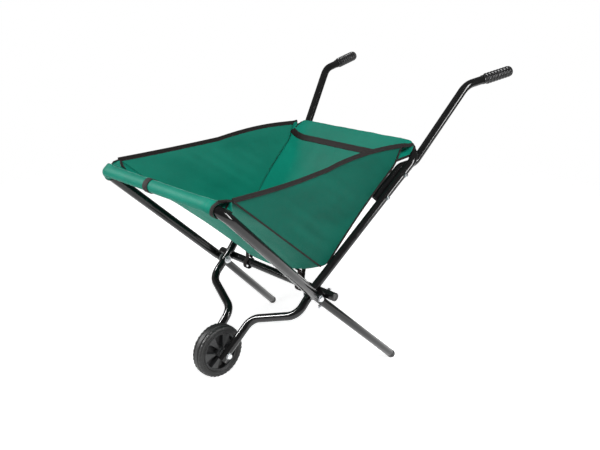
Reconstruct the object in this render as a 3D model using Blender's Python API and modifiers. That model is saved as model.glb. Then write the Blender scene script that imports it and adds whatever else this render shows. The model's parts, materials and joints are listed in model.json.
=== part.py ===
"""Folding garden cart: crossed tube frames, one wheel, fabric tub.

Metres, +Z up, ground at Z = 0. The wheel is at the -Y end, the grips at the +Y end.
The rear frame (rear bar, side tubes and wheel fork) lies in one plane.
The leg frame (front bar and legs) lies in another. They cross at the pivot.
"""
import math

import bmesh
import bpy
from mathutils import Matrix, Vector

# ---------------------------------------------------------------- dimensions
PIVOT_Y = -0.14985
PIVOT_Z = 0.2345
REAR_TILT = math.radians(45.0)
LEG_TILT = math.radians(42.7)

TUBE_R = 0.011
UPPER_R = 0.0125
GAP = 0.0003

PIVOT_HALF = 0.197
PIVOT_HEAD = 0.2098
REAR_HALF = 0.172
LEG_BAR_S = 0.446
LEG_BAR_HALF = 0.2374
REAR_BAR_S = 0.470
REAR_BAR_HALF = 0.2388
REAR_SPLAY_S = 0.020
FORK_KNEE = (0.172, -0.063)
FORK_ANKLE = (0.043, -0.121)
FORK_END = (0.0331, -0.2500)
AXLE_S = -0.2319
LEG_SOCKET_S = 0.0100
LEG_INSERT = 0.060
FOOT_S = 0.3299
FOOT_HALF = 0.2462

CROSS_TUBE_HALF = 0.2270
CROSS_TUBE_ARM = (2 * TUBE_R + GAP) / math.sin((REAR_TILT + LEG_TILT) / 2)
CROSS_TUBE_ANGLE = (REAR_TILT - LEG_TILT) / 2

WHEEL_R = PIVOT_Z + AXLE_S * math.sin(REAR_TILT)
TYRE_HALF = 0.017
RIM_R = 0.0510
AXLE_R = 0.0040
AXLE_HEAD = 0.0467

HANDLE_LOW_S = 0.300
HANDLE_BOLTS = (0.312, 0.388)
HANDLE_OFFSET = 0.0224
HANDLE_BEND_LOW = (0.2072, 0.408, 0.0)
HANDLE_BEND_MID = (0.2135, 0.448, -0.0322)
HANDLE_BEND_TOP = (0.2606, 0.6882, 0.0042)
HANDLE_END = (0.2896, 0.8130, -0.0815)
GRIP_LENGTH = 0.108
GRIP_R = 0.0150

SHEET = 0.0014
SLING_TOP_HALF = 0.225
SLING_LOW_HALF = 0.170
SLING_REAR_HALF = 0.208
SLEEVE_FRONT_R = 0.0150
SLEEVE_REAR_R = 0.0150
SLEEVE_REAR_HALF = 0.198

ROUND = 16


# ---------------------------------------------------------------- frames of reference
def rear(x, s, n=0.0):
    """Point of the rear frame: s along its plane from the pivot, n off the plane."""
    y = PIVOT_Y + s * math.cos(REAR_TILT) - n * math.sin(REAR_TILT)
    z = PIVOT_Z + s * math.sin(REAR_TILT) + n * math.cos(REAR_TILT)
    return Vector((x, y, z))


def leg(x, s, n=0.0):
    """Point of the leg frame: s towards the front bar, n off the plane, upward."""
    y = PIVOT_Y - s * math.cos(LEG_TILT) + n * math.sin(LEG_TILT)
    z = PIVOT_Z + s * math.sin(LEG_TILT) + n * math.cos(LEG_TILT)
    return Vector((x, y, z))


def side_x(s):
    """Half width of the rear frame's side tubes at s."""
    run = (s - REAR_SPLAY_S) / (REAR_BAR_S - REAR_SPLAY_S)
    return REAR_HALF + (REAR_BAR_HALF - REAR_HALF) * run


PIVOT = rear(0, 0)
AXLE = rear(0, AXLE_S)


# ---------------------------------------------------------------- scene helpers
for old in list(bpy.data.objects):
    bpy.data.objects.remove(old, do_unlink=True)

PARTS = bpy.data.collections.new("garden_cart")
CUTTERS = bpy.data.collections.new("garden_cart_cutters")
bpy.context.scene.collection.children.link(PARTS)
bpy.context.scene.collection.children.link(CUTTERS)


def material(name, colour, rough, metal=0.0):
    mat = bpy.data.materials.new(name)
    mat.use_nodes = True
    shader = mat.node_tree.nodes["Principled BSDF"]
    shader.inputs["Base Color"].default_value = (*colour, 1.0)
    shader.inputs["Roughness"].default_value = rough
    shader.inputs["Metallic"].default_value = metal
    mat.diffuse_color = (*colour, 1.0)
    return mat


FINISH = {
    "coat": ((0.012, 0.012, 0.013), 0.25, 0.0),
    "zinc": ((0.55, 0.56, 0.58), 0.35, 1.0),
    "plastic": ((0.045, 0.045, 0.047), 0.55, 0.0),
    "nylon": ((0.42, 0.42, 0.41), 0.5, 0.0),
    "rubber": ((0.035, 0.035, 0.036), 0.8, 0.0),
    "cloth": ((0.012, 0.21, 0.15), 0.85, 0.0),
    "webbing": ((0.022, 0.017, 0.016), 0.9, 0.0),
}


def smooth(mesh, angle=40):
    """Smooth shading with the sharp edges kept."""
    mesh.shade_smooth()
    mesh.set_sharp_from_angle(angle=math.radians(angle))


def finish(obj, kind, origin=None):
    """Give an object its own material and put its origin on its joint axis."""
    colour, rough, metal = FINISH[kind]
    obj.data.materials.clear()
    obj.data.materials.append(material(obj.name + "_" + kind, colour, rough, metal))
    if origin is not None:
        shift = obj.matrix_world.inverted() @ origin
        obj.data.transform(Matrix.Translation(-shift))
        obj.matrix_world = obj.matrix_world @ Matrix.Translation(shift)
    return obj


def add_mesh(name, mesh, where=PARTS):
    obj = bpy.data.objects.new(name, mesh)
    where.objects.link(obj)
    return obj


def clean(mesh, dist=1e-6):
    bm = bmesh.new()
    bm.from_mesh(mesh)
    bmesh.ops.remove_doubles(bm, verts=bm.verts, dist=dist)
    bmesh.ops.recalc_face_normals(bm, faces=bm.faces)
    bm.to_mesh(mesh)
    bm.free()


def frozen(obj):
    """Evaluated mesh of an object in world space; the object is removed."""
    bpy.context.view_layer.update()
    graph = bpy.context.evaluated_depsgraph_get()
    mesh = bpy.data.meshes.new_from_object(obj.evaluated_get(graph))
    mesh.transform(obj.matrix_world)
    bpy.data.objects.remove(obj, do_unlink=True)
    clean(mesh)
    return mesh


def rounded(points, radii, steps=6):
    """Polyline with each inner corner replaced by an arc of the given radius."""
    out = [Vector(points[0])]
    for i in range(1, len(points) - 1):
        corner = Vector(points[i])
        back = (Vector(points[i - 1]) - corner).normalized()
        ahead = (Vector(points[i + 1]) - corner).normalized()
        half = back.angle(ahead) / 2
        reach = radii[i - 1] / math.tan(half)
        centre = corner + (back + ahead).normalized() * (radii[i - 1] / math.sin(half))
        start = corner + back * reach - centre
        stop = corner + ahead * reach - centre
        turn = start.angle(stop)
        for k in range(steps + 1):
            f = k / steps
            a = math.sin((1 - f) * turn) / math.sin(turn)
            b = math.sin(f * turn) / math.sin(turn)
            out.append(centre + start * a + stop * b)
    out.append(Vector(points[-1]))
    return out


def sweep_curve(name, path, radius, caps=True, sides=ROUND):
    data = bpy.data.curves.new(name, "CURVE")
    data.dimensions = "3D"
    data.resolution_u = 1
    data.bevel_depth = radius
    data.bevel_resolution = (sides - 4) // 2
    data.use_fill_caps = caps
    spline = data.splines.new("POLY")
    spline.points.add(len(path) - 1)
    for point, where in zip(spline.points, path):
        point.co = (*where, 1.0)
    obj = bpy.data.objects.new(name, data)
    CUTTERS.objects.link(obj)
    return obj


def tube(name, path, radius, sides=ROUND):
    """Round bar swept along a path."""
    mesh = frozen(sweep_curve(name + "_path", path, radius, True, sides))
    smooth(mesh)
    return add_mesh(name, mesh)


def sleeve(name, path, radius, thick, sides=ROUND):
    """Open-ended tube of sheet swept along a path."""
    mesh = frozen(sweep_curve(name + "_path", path, radius, False, sides))
    smooth(mesh)
    obj = add_mesh(name, mesh)
    shell = obj.modifiers.new("sheet", "SOLIDIFY")
    shell.thickness = thick
    shell.offset = 0.0
    shell.use_even_offset = True
    return obj


def turned(name, profile, steps=24):
    """Profile of (radius, height) points turned about Z."""
    mesh = bpy.data.meshes.new(name)
    closed = profile[0] == profile[-1]
    points = profile[:-1] if closed else profile
    edges = [(i, i + 1) for i in range(len(points) - 1)]
    if closed:
        edges.append((len(points) - 1, 0))
    mesh.from_pydata([(r, 0.0, h) for r, h in points], edges, [])
    obj = add_mesh(name, mesh)
    screw = obj.modifiers.new("turn", "SCREW")
    screw.axis = "Z"
    screw.steps = steps
    screw.render_steps = steps
    screw.use_merge_vertices = True
    screw.merge_threshold = 0.00001
    screw.use_smooth_shade = False
    return obj


def turned_solid(name, profile, matrix, steps=24, angle=40):
    mesh = frozen(turned(name + "_profile", profile, steps))
    mesh.transform(matrix)
    smooth(mesh, angle)
    return add_mesh(name, mesh)


def cylinder(name, radius, depth, matrix, sides=24, where=CUTTERS):
    mesh = bpy.data.meshes.new(name)
    bm = bmesh.new()
    bmesh.ops.create_cone(
        bm, cap_ends=True, segments=sides, radius1=radius, radius2=radius, depth=depth
    )
    bm.to_mesh(mesh)
    bm.free()
    mesh.transform(matrix)
    obj = add_mesh(name, mesh, where)
    if where is CUTTERS:
        obj.hide_render = True
        obj.display_type = "WIRE"
    return obj


def box(name, size, centre, where=CUTTERS):
    mesh = bpy.data.meshes.new(name)
    bm = bmesh.new()
    bmesh.ops.create_cube(bm, size=1.0)
    bm.to_mesh(mesh)
    bm.free()
    mesh.transform(Matrix.Translation(centre) @ Matrix.Diagonal((*size, 1.0)))
    obj = add_mesh(name, mesh, where)
    obj.hide_render = True
    obj.display_type = "WIRE"
    return obj


def boolean(obj, other, operation="DIFFERENCE"):
    mod = obj.modifiers.new(other.name, "BOOLEAN")
    mod.operation = operation
    mod.solver = "EXACT"
    mod.object = other
    return mod


def along(direction, centre):
    """Matrix that turns +Z into a direction and moves the origin to a centre."""
    turn = Vector(direction).to_track_quat("Z", "Y").to_matrix().to_4x4()
    return Matrix.Translation(centre) @ turn


def across(centre, side=1):
    return along((side, 0, 0), centre)


def sheet_grid(name, rows, thick, angle=60):
    """Sheet of a given thickness about a grid of points."""
    wide = len(rows[0])
    verts = [point for row in rows for point in row]
    faces = []
    for i in range(len(rows) - 1):
        for j in range(wide - 1):
            a = i * wide + j
            faces.append((a, a + 1, a + wide + 1, a + wide))
    mesh = bpy.data.meshes.new(name)
    mesh.from_pydata(verts, [], faces)
    smooth(mesh, angle)
    obj = add_mesh(name, mesh)
    shell = obj.modifiers.new("sheet", "SOLIDIFY")
    shell.thickness = thick
    shell.offset = 0.0
    shell.use_even_offset = True
    return obj


def resample(path, count):
    """Points at equal steps along a path."""
    lengths = [0.0]
    for a, b in zip(path, path[1:]):
        lengths.append(lengths[-1] + (b - a).length)
    out = []
    for k in range(count):
        want = lengths[-1] * k / (count - 1)
        i = 0
        while i < len(path) - 2 and lengths[i + 1] < want:
            i += 1
        span = lengths[i + 1] - lengths[i]
        f = 0.0 if span == 0 else (want - lengths[i]) / span
        out.append(path[i].lerp(path[i + 1], f))
    return out


# ---------------------------------------------------------------- fasteners
def hex_head(name, flats, height):
    """Hexagonal prism standing on the XY plane."""
    across_corners = flats / math.cos(math.pi / 6) / 2
    lift = Matrix.Translation((0, 0, height / 2))
    return cylinder(name, across_corners, height, lift, 6)


def bolt_mesh(name, flats, head, radius, length, sides=12):
    """Hex bolt: head from Z = 0 up, shank down to Z = -length."""
    top = hex_head(name + "_head", flats, head)
    lift = Matrix.Translation((0, 0, 0.001 - length / 2 - 0.0005))
    shank = cylinder(name + "_shank", radius, length + 0.001, lift, sides)
    boolean(shank, top, "UNION")
    mesh = frozen(shank)
    bpy.data.objects.remove(top, do_unlink=True)
    smooth(mesh, 30)
    return mesh


def nut_mesh(name, flats, height, bore):
    """Hex nut from Z = 0 up."""
    body = hex_head(name + "_body", flats, height)
    hole = cylinder(name + "_hole", bore, height * 3, Matrix.Identity(4), 16)
    boolean(body, hole)
    mesh = frozen(body)
    bpy.data.objects.remove(hole, do_unlink=True)
    smooth(mesh, 30)
    return mesh


def ring(name, outer, inner, low, high, matrix, steps=16):
    """Washer or spacer between two heights of its own axis."""
    loop = [(outer, high), (outer, low), (inner, low), (inner, high), (outer, high)]
    return turned_solid(name, loop, matrix, steps)


def placed(name, mesh, matrix, kind, origin=None):
    copy = mesh.copy()
    copy.transform(matrix)
    return finish(add_mesh(name, copy), kind, origin)


SIDES = (("left", -1), ("right", 1))

M8_BOLT = bolt_mesh("m8_bolt", 0.013, 0.0055, 0.0040, 0.0600, 24)
M8_NUT = nut_mesh("m8_nut", 0.013, 0.0065, 0.0043)
M6_BOLT = bolt_mesh("m6_bolt", 0.010, 0.0040, 0.0030, 0.0540)
M6_CROSS_BOLT = bolt_mesh("m6_cross_bolt", 0.010, 0.0040, 0.0030, 0.0530)
M6_NUT = nut_mesh("m6_nut", 0.010, 0.0050, 0.0033)
AXLE_BOLT = bolt_mesh("axle_bolt_m8", 0.013, 0.0053, AXLE_R, 0.1010, 24)
AXLE_NUT = nut_mesh("axle_nut_m8", 0.013, 0.0080, 0.0043)


# ---------------------------------------------------------------- rear frame with wheel fork
def rear_outline():
    half = [
        rear(*FORK_END),
        rear(*FORK_ANKLE),
        rear(*FORK_KNEE),
        rear(REAR_HALF, REAR_SPLAY_S),
        rear(REAR_BAR_HALF, REAR_BAR_S),
    ]
    other = [Vector((-p.x, p.y, p.z)) for p in reversed(half)]
    radii = [0.042, 0.042, 0.080, 0.042]
    return rounded(half + other, radii + list(reversed(radii)), 6)


rear_frame = tube("rear_frame", rear_outline(), TUBE_R)
pivot_hole = cylinder("pivot_hole", 0.00408, 0.44, across(PIVOT), 24)
axle_hole = cylinder("axle_hole", AXLE_R + 0.0003, 0.11, across(AXLE), 24)
boolean(rear_frame, pivot_hole)
boolean(rear_frame, axle_hole)
handle_holes = []
for number, s in enumerate(HANDLE_BOLTS):
    hole = cylinder("handle_hole_%d" % number, 0.0033, 0.52, across(rear(0, s)), 16)
    handle_holes.append(hole)
    boolean(rear_frame, hole)
finish(rear_frame, "coat")

# ---------------------------------------------------------------- leg frame
front_half = [leg(PIVOT_HALF + 0.0007, LEG_SOCKET_S), leg(LEG_BAR_HALF, LEG_BAR_S)]
front_points = front_half + [Vector((-p.x, p.y, p.z)) for p in reversed(front_half)]
FRONT_PATH = rounded(front_points, [0.045, 0.045], 8)
front_frame = tube("front_frame", FRONT_PATH, UPPER_R)
LEG_UP = (front_half[1] - front_half[0]).normalized()

CROSS_AXIS = Vector((
    0,
    PIVOT_Y + CROSS_TUBE_ARM * math.cos(CROSS_TUBE_ANGLE),
    PIVOT_Z + CROSS_TUBE_ARM * math.sin(CROSS_TUBE_ANGLE),
))
CROSS_S = CROSS_TUBE_ARM * math.cos(CROSS_TUBE_ANGLE + LEG_TILT)
CROSS_N = 2 * TUBE_R + GAP
CROSS_BOLT_X = PIVOT_HALF + (FOOT_HALF - PIVOT_HALF) * CROSS_S / FOOT_S
LEG_NORMAL = leg(0, 0, 1) - leg(0, 0, 0)

for side, sign in SIDES:
    flip = Vector((sign, 1, 1))
    mouth = front_half[0] * flip
    up = Vector((LEG_UP.x * sign, LEG_UP.y, LEG_UP.z))
    socket = cylinder(
        "socket_" + side, TUBE_R + 0.0002, 2 * LEG_INSERT, along(up, mouth), ROUND
    )
    boolean(front_frame, socket)

    top = mouth + up * (LEG_INSERT - 0.002)
    bend = leg(PIVOT_HALF * sign, 0)
    foot = leg(FOOT_HALF * sign, -FOOT_S)
    down = (foot - bend).normalized()
    tip = foot - down * 0.006
    shin = tube("lower_leg_" + side, rounded([top, bend, tip], [0.050], 3), TUBE_R)
    boolean(shin, pivot_hole)
    bore = cylinder("shin_bore_" + side, 0.0096, 0.040, along(down, tip), ROUND)
    boolean(shin, bore)
    cross_centre = leg(CROSS_BOLT_X * sign, -CROSS_S, CROSS_N / 2)
    cross_hole = cylinder(
        "cross_hole_" + side, 0.0033, 0.080, along(LEG_NORMAL, cross_centre), 16
    )
    boolean(shin, cross_hole)
    finish(shin, "coat", PIVOT)

    cap = [
        (0.0, 0.0185), (0.0093, 0.0185), (0.0093, -GAP), (0.0112, -GAP), (0.0112, -0.0060),
    ]
    for k in range(1, 6):
        turn = math.radians(90 * k / 6)
        cap.append((0.0112 * math.cos(turn), -0.0060 - 0.0112 * math.sin(turn)))
    cap.append((0.0, -0.0172))
    foot_cap = turned_solid("foot_cap_" + side, cap, along(-down, tip), 20)
    under = Vector((foot.x, foot.y, -0.01))
    ground = box("ground_cut_" + side, (0.06, 0.06, 0.02), under)
    boolean(foot_cap, ground)
    finish(foot_cap, "plastic", PIVOT)

finish(front_frame, "coat", PIVOT)

ends = [CROSS_AXIS + Vector((-CROSS_TUBE_HALF, 0, 0)), CROSS_AXIS + Vector((CROSS_TUBE_HALF, 0, 0))]
cross_tube = tube("cross_tube", ends, TUBE_R)
for side, sign in SIDES:
    boolean(cross_tube, bpy.data.objects["cross_hole_" + side])
    mouth = CROSS_AXIS + Vector((CROSS_TUBE_HALF * sign, 0, 0))
    bore = cylinder("cross_bore_" + side, 0.0096, 0.024, across(mouth), ROUND)
    boolean(cross_tube, bore)
    cap = [
        (0.0, 0.0036), (0.0060, 0.0036), (0.0098, 0.0028), (0.0112, 0.0012),
        (0.0112, GAP), (0.0093, GAP), (0.0093, -0.0110), (0.0, -0.0110),
    ]
    plug = turned_solid("cross_tube_cap_" + side, cap, across(mouth, sign), 20)
    finish(plug, "plastic", PIVOT)
    top = leg(CROSS_BOLT_X * sign, -CROSS_S, CROSS_N + TUBE_R + 0.0004)
    placed("cross_bolt_" + side, M6_CROSS_BOLT, along(LEG_NORMAL, top), "zinc", PIVOT)
    low = leg(CROSS_BOLT_X * sign, -CROSS_S, -TUBE_R - 0.0004)
    placed("cross_nut_" + side, M6_NUT, along(-LEG_NORMAL, low), "zinc", PIVOT)
finish(cross_tube, "coat", PIVOT)

# ---------------------------------------------------------------- pivots
for side, sign in SIDES:
    axis = across(PIVOT, sign)
    head = across(PIVOT + Vector((sign * PIVOT_HEAD, 0, 0)), sign)
    placed("pivot_bolt_" + side, M8_BOLT, head, "zinc")
    spacer = ring("pivot_spacer_" + side, 0.0110, 0.0043, 0.1833, 0.1857, axis)
    finish(spacer, "nylon")
    washer = ring("pivot_washer_" + side, 0.0110, 0.0043, 0.1592, 0.1607, axis)
    finish(washer, "zinc")
    nut = across(PIVOT + Vector((sign * 0.1524, 0, 0)), sign)
    placed("pivot_nut_" + side, M8_NUT, nut, "zinc")

# ---------------------------------------------------------------- handles
for side, sign in SIDES:
    low = rear(side_x(HANDLE_LOW_S) - HANDLE_OFFSET, HANDLE_LOW_S)
    points = [low, rear(*HANDLE_BEND_LOW), rear(*HANDLE_BEND_MID)]
    points += [rear(*HANDLE_BEND_TOP), rear(*HANDLE_END)]
    points = [Vector((p.x * sign, p.y, p.z)) for p in points]
    path = rounded(points, [0.030, 0.030, 0.055], 6)
    handle = tube("handle_" + side, path, TUBE_R)
    for hole in handle_holes:
        boolean(handle, hole)
    way = (points[1] - points[0]).normalized()
    mouth = cylinder("handle_mouth_" + side, 0.0096, 0.014, along(way, points[0]), ROUND)
    boolean(handle, mouth)
    finish(handle, "coat")

    profile = [(0.0, 0.0120), (0.0060, 0.0113), (0.0105, 0.0088), (0.0134, 0.0050)]
    pitch = 0.0110
    for k in range(8):
        low_z = 0.0020 - k * pitch
        profile += [
            (GRIP_R, low_z), (GRIP_R, low_z - 0.0052), (GRIP_R - 0.0018, low_z - 0.0081),
        ]
    base = 0.0120 - GRIP_LENGTH
    profile += [
        (GRIP_R, base + 0.0060), (GRIP_R, base), (TUBE_R + GAP, base), (TUBE_R + GAP, GAP),
        (0.0, GAP),
    ]
    reach = (points[-1] - points[-2]).normalized()
    grip = turned_solid("grip_" + side, profile, along(reach, points[-1]), 16, 30)
    finish(grip, "plastic")

    for number, s in enumerate(HANDLE_BOLTS):
        tag = side + ("_lower" if number == 0 else "_upper")
        head = rear((side_x(s) + 0.0122) * sign, s)
        placed("handle_bolt_" + tag, M6_BOLT, across(head, sign), "zinc")
        nut = rear((side_x(s) - HANDLE_OFFSET - 0.0122) * sign, s)
        placed("handle_nut_" + tag, M6_NUT, across(nut, -sign), "zinc")

# ---------------------------------------------------------------- wheel
outer = WHEEL_R
tyre_loop = [
    (outer - 0.0065, TYRE_HALF), (outer - 0.0026, TYRE_HALF - 0.0022),
    (outer - 0.0006, 0.0100), (outer - 0.0030, 0.0088), (outer - 0.0030, 0.0068),
    (outer, 0.0054), (outer, -0.0054),
    (outer - 0.0030, -0.0068), (outer - 0.0030, -0.0088), (outer - 0.0006, -0.0100),
    (outer - 0.0026, 0.0022 - TYRE_HALF), (outer - 0.0065, -TYRE_HALF),
    (RIM_R + 0.0040, -0.0158), (RIM_R + GAP, -0.0140),
    (RIM_R + GAP, 0.0140), (RIM_R + 0.0040, 0.0158),
    (outer - 0.0065, TYRE_HALF),
]
tyre = turned_solid("tyre", tyre_loop, across(AXLE), 40, 35)
finish(tyre, "rubber", AXLE)

hub_loop = [
    (RIM_R, 0.0140), (RIM_R, -0.0140), (RIM_R - 0.0040, -0.0140), (RIM_R - 0.0050, -0.0030),
    (0.0150, -0.0045), (0.0135, -0.0185), (AXLE_R + 0.00006, -0.0185),
    (AXLE_R + 0.00006, 0.0185), (0.0135, 0.0185), (0.0150, 0.0045),
    (RIM_R - 0.0050, 0.0030), (RIM_R - 0.0040, 0.0140), (RIM_R, 0.0140),
]
hub = turned_solid("wheel_hub", hub_loop, across(AXLE), 40, 35)
for k in range(6):
    turn = math.radians(60 * k + 30)
    outline = []
    for radius, swing in ((0.020, -9), (0.042, -20), (0.0440, -7), (0.0440, 7), (0.042, 20), (0.020, 9)):
        angle = turn + math.radians(swing)
        outline.append((radius * math.cos(angle), radius * math.sin(angle)))
    data = bpy.data.curves.new("hub_window_%d" % k, "CURVE")
    data.dimensions = "2D"
    data.fill_mode = "BOTH"
    data.extrude = 0.02
    spline = data.splines.new("POLY")
    spline.points.add(len(outline) - 1)
    for point, where in zip(spline.points, outline):
        point.co = (*where, 0.0, 1.0)
    spline.use_cyclic_u = True
    curve = bpy.data.objects.new("hub_window_%d" % k, data)
    CUTTERS.objects.link(curve)
    mesh = frozen(curve)
    mesh.transform(across(AXLE))
    window = add_mesh("hub_window_cut_%d" % k, mesh, CUTTERS)
    window.hide_render = True
    window.display_type = "WIRE"
    boolean(hub, window)
finish(hub, "plastic", AXLE)

placed("axle_bolt", AXLE_BOLT, across(AXLE + Vector((AXLE_HEAD, 0, 0))), "zinc")
placed("axle_nut", AXLE_NUT, across(AXLE - Vector((AXLE_HEAD, 0, 0)), -1), "zinc")
for side, sign in SIDES:
    spacer = ring("axle_spacer_" + side, 0.0075, 0.0044, 0.0188, 0.0226, across(AXLE, sign))
    finish(spacer, "zinc")


# ---------------------------------------------------------------- fabric tub
def rear_side(s, n):
    point = rear(0, s, n)
    return Vector((0, point.y, point.z))


BOTTOM_EDGE = rear_side(0.073, 0.010)
FRONT_TOP = leg(0, LEG_BAR_S)
SLING_START = leg(0, LEG_BAR_S - 0.008, 0.0174)
edge_line = rounded(
    [
        SLING_START,
        BOTTOM_EDGE,
        rear_side(0.250, 0.015),
        rear_side(0.456, 0.031),
    ],
    [0.030, 0.400],
    6,
)
middle_line = rounded(
    [
        SLING_START,
        Vector((0, PIVOT_Y + 0.0290, PIVOT_Z + 0.0120)),
        rear_side(0.240, -0.004),
        rear_side(0.452, 0.009),
    ],
    [0.050, 0.400],
    6,
)
ROWS = 37
EDGE = resample(edge_line, ROWS)
MIDDLE = resample(middle_line, ROWS)
LOW_ROW = min(range(ROWS), key=lambda i: MIDDLE[i].z)


def half_width(row):
    """Half width of the sling: wide at both bars, narrow at the bottom."""
    if row <= LOW_ROW:
        f = row / LOW_ROW
        return SLING_TOP_HALF + (SLING_LOW_HALF - SLING_TOP_HALF) * f
    f = (row - LOW_ROW) / (ROWS - 1 - LOW_ROW)
    return SLING_LOW_HALF + (SLING_REAR_HALF - SLING_LOW_HALF) * f


def sling_point(row, across_v, lift=0.0):
    """Point of the sling at a whole or fractional row, v from -1 to 1."""
    i = min(int(row), ROWS - 2)
    f = row - i
    edge = EDGE[i].lerp(EDGE[i + 1], f)
    middle = MIDDLE[i].lerp(MIDDLE[i + 1], f)
    wide = half_width(i) * (1 - f) + half_width(i + 1) * f
    point = edge.lerp(middle, 1 - abs(across_v) ** 2)
    way = (EDGE[i + 1] - EDGE[i]).normalized()
    normal = Vector((0, -way.z, way.y))
    return Vector((wide * across_v, point.y, point.z)) + normal * lift


def sling_rows(first, last, count, columns=11, lift=0.0, reach=1.0):
    rows = []
    for k in range(count):
        row = first + (last - first) * k / (count - 1)
        rows.append([
            sling_point(row, reach * (2 * j / (columns - 1) - 1), lift) for j in range(columns)
        ])
    return rows


front_panel = sheet_grid("tub_front_panel", sling_rows(0, LOW_ROW - 0.03, 12), SHEET)
finish(front_panel, "cloth", PIVOT)
rear_panel = sheet_grid("tub_rear_panel", sling_rows(LOW_ROW + 0.03, ROWS - 1, 14), SHEET)
finish(rear_panel, "cloth")

inner_row = ROWS - 1 - 2.6
inner_strap = sheet_grid(
    "tub_inner_strap", sling_rows(inner_row - 0.5, inner_row + 0.5, 2, 11, 0.0022, 0.97), 0.0014
)
finish(inner_strap, "webbing")


def trimmed(path, keep):
    """Middle part of a path, with a share kept on either side of its centre."""
    fine = resample(path, 161)
    skip = int(round(80 * (1 - keep)))
    return fine[skip:161 - skip]


def thinned(path):
    """Path without the points that lie on straight runs."""
    out = [path[0]]
    for i in range(1, len(path) - 1):
        before = (path[i] - out[-1]).normalized()
        after = (path[i + 1] - path[i]).normalized()
        if before.angle(after) > math.radians(3):
            out.append(path[i])
    out.append(path[-1])
    return out


front_sleeve = sleeve(
    "front_sleeve", thinned(trimmed(FRONT_PATH, 0.350)), SLEEVE_FRONT_R, SHEET
)
finish(front_sleeve, "cloth", PIVOT)
rear_bar = [rear(-SLEEVE_REAR_HALF, REAR_BAR_S), rear(SLEEVE_REAR_HALF, REAR_BAR_S)]
rear_sleeve = sleeve("rear_sleeve", rear_bar, SLEEVE_REAR_R, SHEET)
finish(rear_sleeve, "cloth")

keeper = []
for k in range(13):
    turn = math.radians(100 + 20 * k)
    keeper.append((math.cos(turn), math.sin(turn)))
keeper_rows = []
for x in (-0.022, -0.009):
    keeper_rows.append([
        FRONT_TOP + Vector((x, c * (SLEEVE_FRONT_R + 0.0018), s * (SLEEVE_FRONT_R + 0.0018)))
        for c, s in keeper[:9]
    ])
front_keeper = sheet_grid("front_keeper_strap", keeper_rows, 0.0014)
finish(front_keeper, "webbing", PIVOT)

SEAM_OUT = 0.0019
for side, sign in SIDES:
    count = 13
    seam = []
    hem = []
    for k in range(count):
        f = k / (count - 1)
        row_f = LOW_ROW - 0.25 - (LOW_ROW - 0.80) * f
        row_r = LOW_ROW + 0.25 + (ROWS - 1.6 - LOW_ROW) * f
        a = sling_point(row_f, 1.0)
        b = sling_point(row_r, 1.0)
        seam.append(Vector(((a.x + SEAM_OUT) * sign, a.y, a.z)))
        hem.append(Vector(((b.x + SEAM_OUT) * sign, b.y, b.z)))
    rows = []
    for k in range(count):
        f = k / (count - 1)
        row = []
        for j in range(9):
            g = j / 8
            point = seam[k].lerp(hem[k], g)
            bow = 4 * g * (1 - g) * f
            point += Vector((-0.008 * sign * bow, 0, -0.004 * bow))
            row.append(point)
        rows.append(row)
    gusset = sheet_grid("tub_gusset_" + side, rows, SHEET)
    finish(gusset, "cloth")

    rim = [p + Vector((0, 0, 0.0012)) for p in rows[-1]]
    rim_rows = [rim, [p + Vector((0, 0, 0.0095)) for p in rim]]
    binding = sheet_grid("rim_webbing_" + side, rim_rows, 0.0024)
    finish(binding, "webbing")

    outward = Vector((0.0019 * sign, 0, 0))
    hem_rows = [[p + outward for p in (r[-1] for r in rows[1:])]]
    hem_rows.append([p + outward for p in (r[-1].lerp(r[-2], 0.16) for r in rows[1:])])
    binding = sheet_grid("rear_edge_webbing_" + side, hem_rows, 0.0014)
    finish(binding, "webbing")

    piping_path = [Vector((p.x + 0.0030 * sign, p.y, p.z)) for p in seam[1:-1]]
    piping = tube("front_seam_piping_" + side, piping_path, 0.0016, 8)
    finish(piping, "webbing")

    loop_x = 0.105 * sign
    band = []
    for k in range(19):
        turn = math.radians(-235 + 290 * k / 18)
        r = TUBE_R + 0.0012
        if 60 < k * 290 / 18 < 230:
            r += 0.0030
        band.append(CROSS_AXIS + Vector((0, r * math.cos(turn), r * math.sin(turn))))
    band_rows = [[p + Vector((loop_x + d, 0, 0)) for p in band] for d in (-0.0125, 0.0125)]
    strap = sheet_grid("tub_strap_" + side, band_rows, 0.0014)
    finish(strap, "webbing", PIVOT)

for mesh in (M8_BOLT, M8_NUT, M6_BOLT, M6_CROSS_BOLT, M6_NUT, AXLE_BOLT, AXLE_NUT):
    bpy.data.meshes.remove(mesh)
for obj in CUTTERS.objects:
    obj.hide_render = True
    obj.display_type = "WIRE"
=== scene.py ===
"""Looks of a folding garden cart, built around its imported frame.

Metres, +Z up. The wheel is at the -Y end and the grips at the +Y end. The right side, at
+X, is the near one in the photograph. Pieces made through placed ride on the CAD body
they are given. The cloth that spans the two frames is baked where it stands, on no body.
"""
import json
from math import cos, dist, exp, pi, radians, sin, sqrt, tan

import bmesh
import bpy
from mathutils import Matrix, Vector, noise


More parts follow.
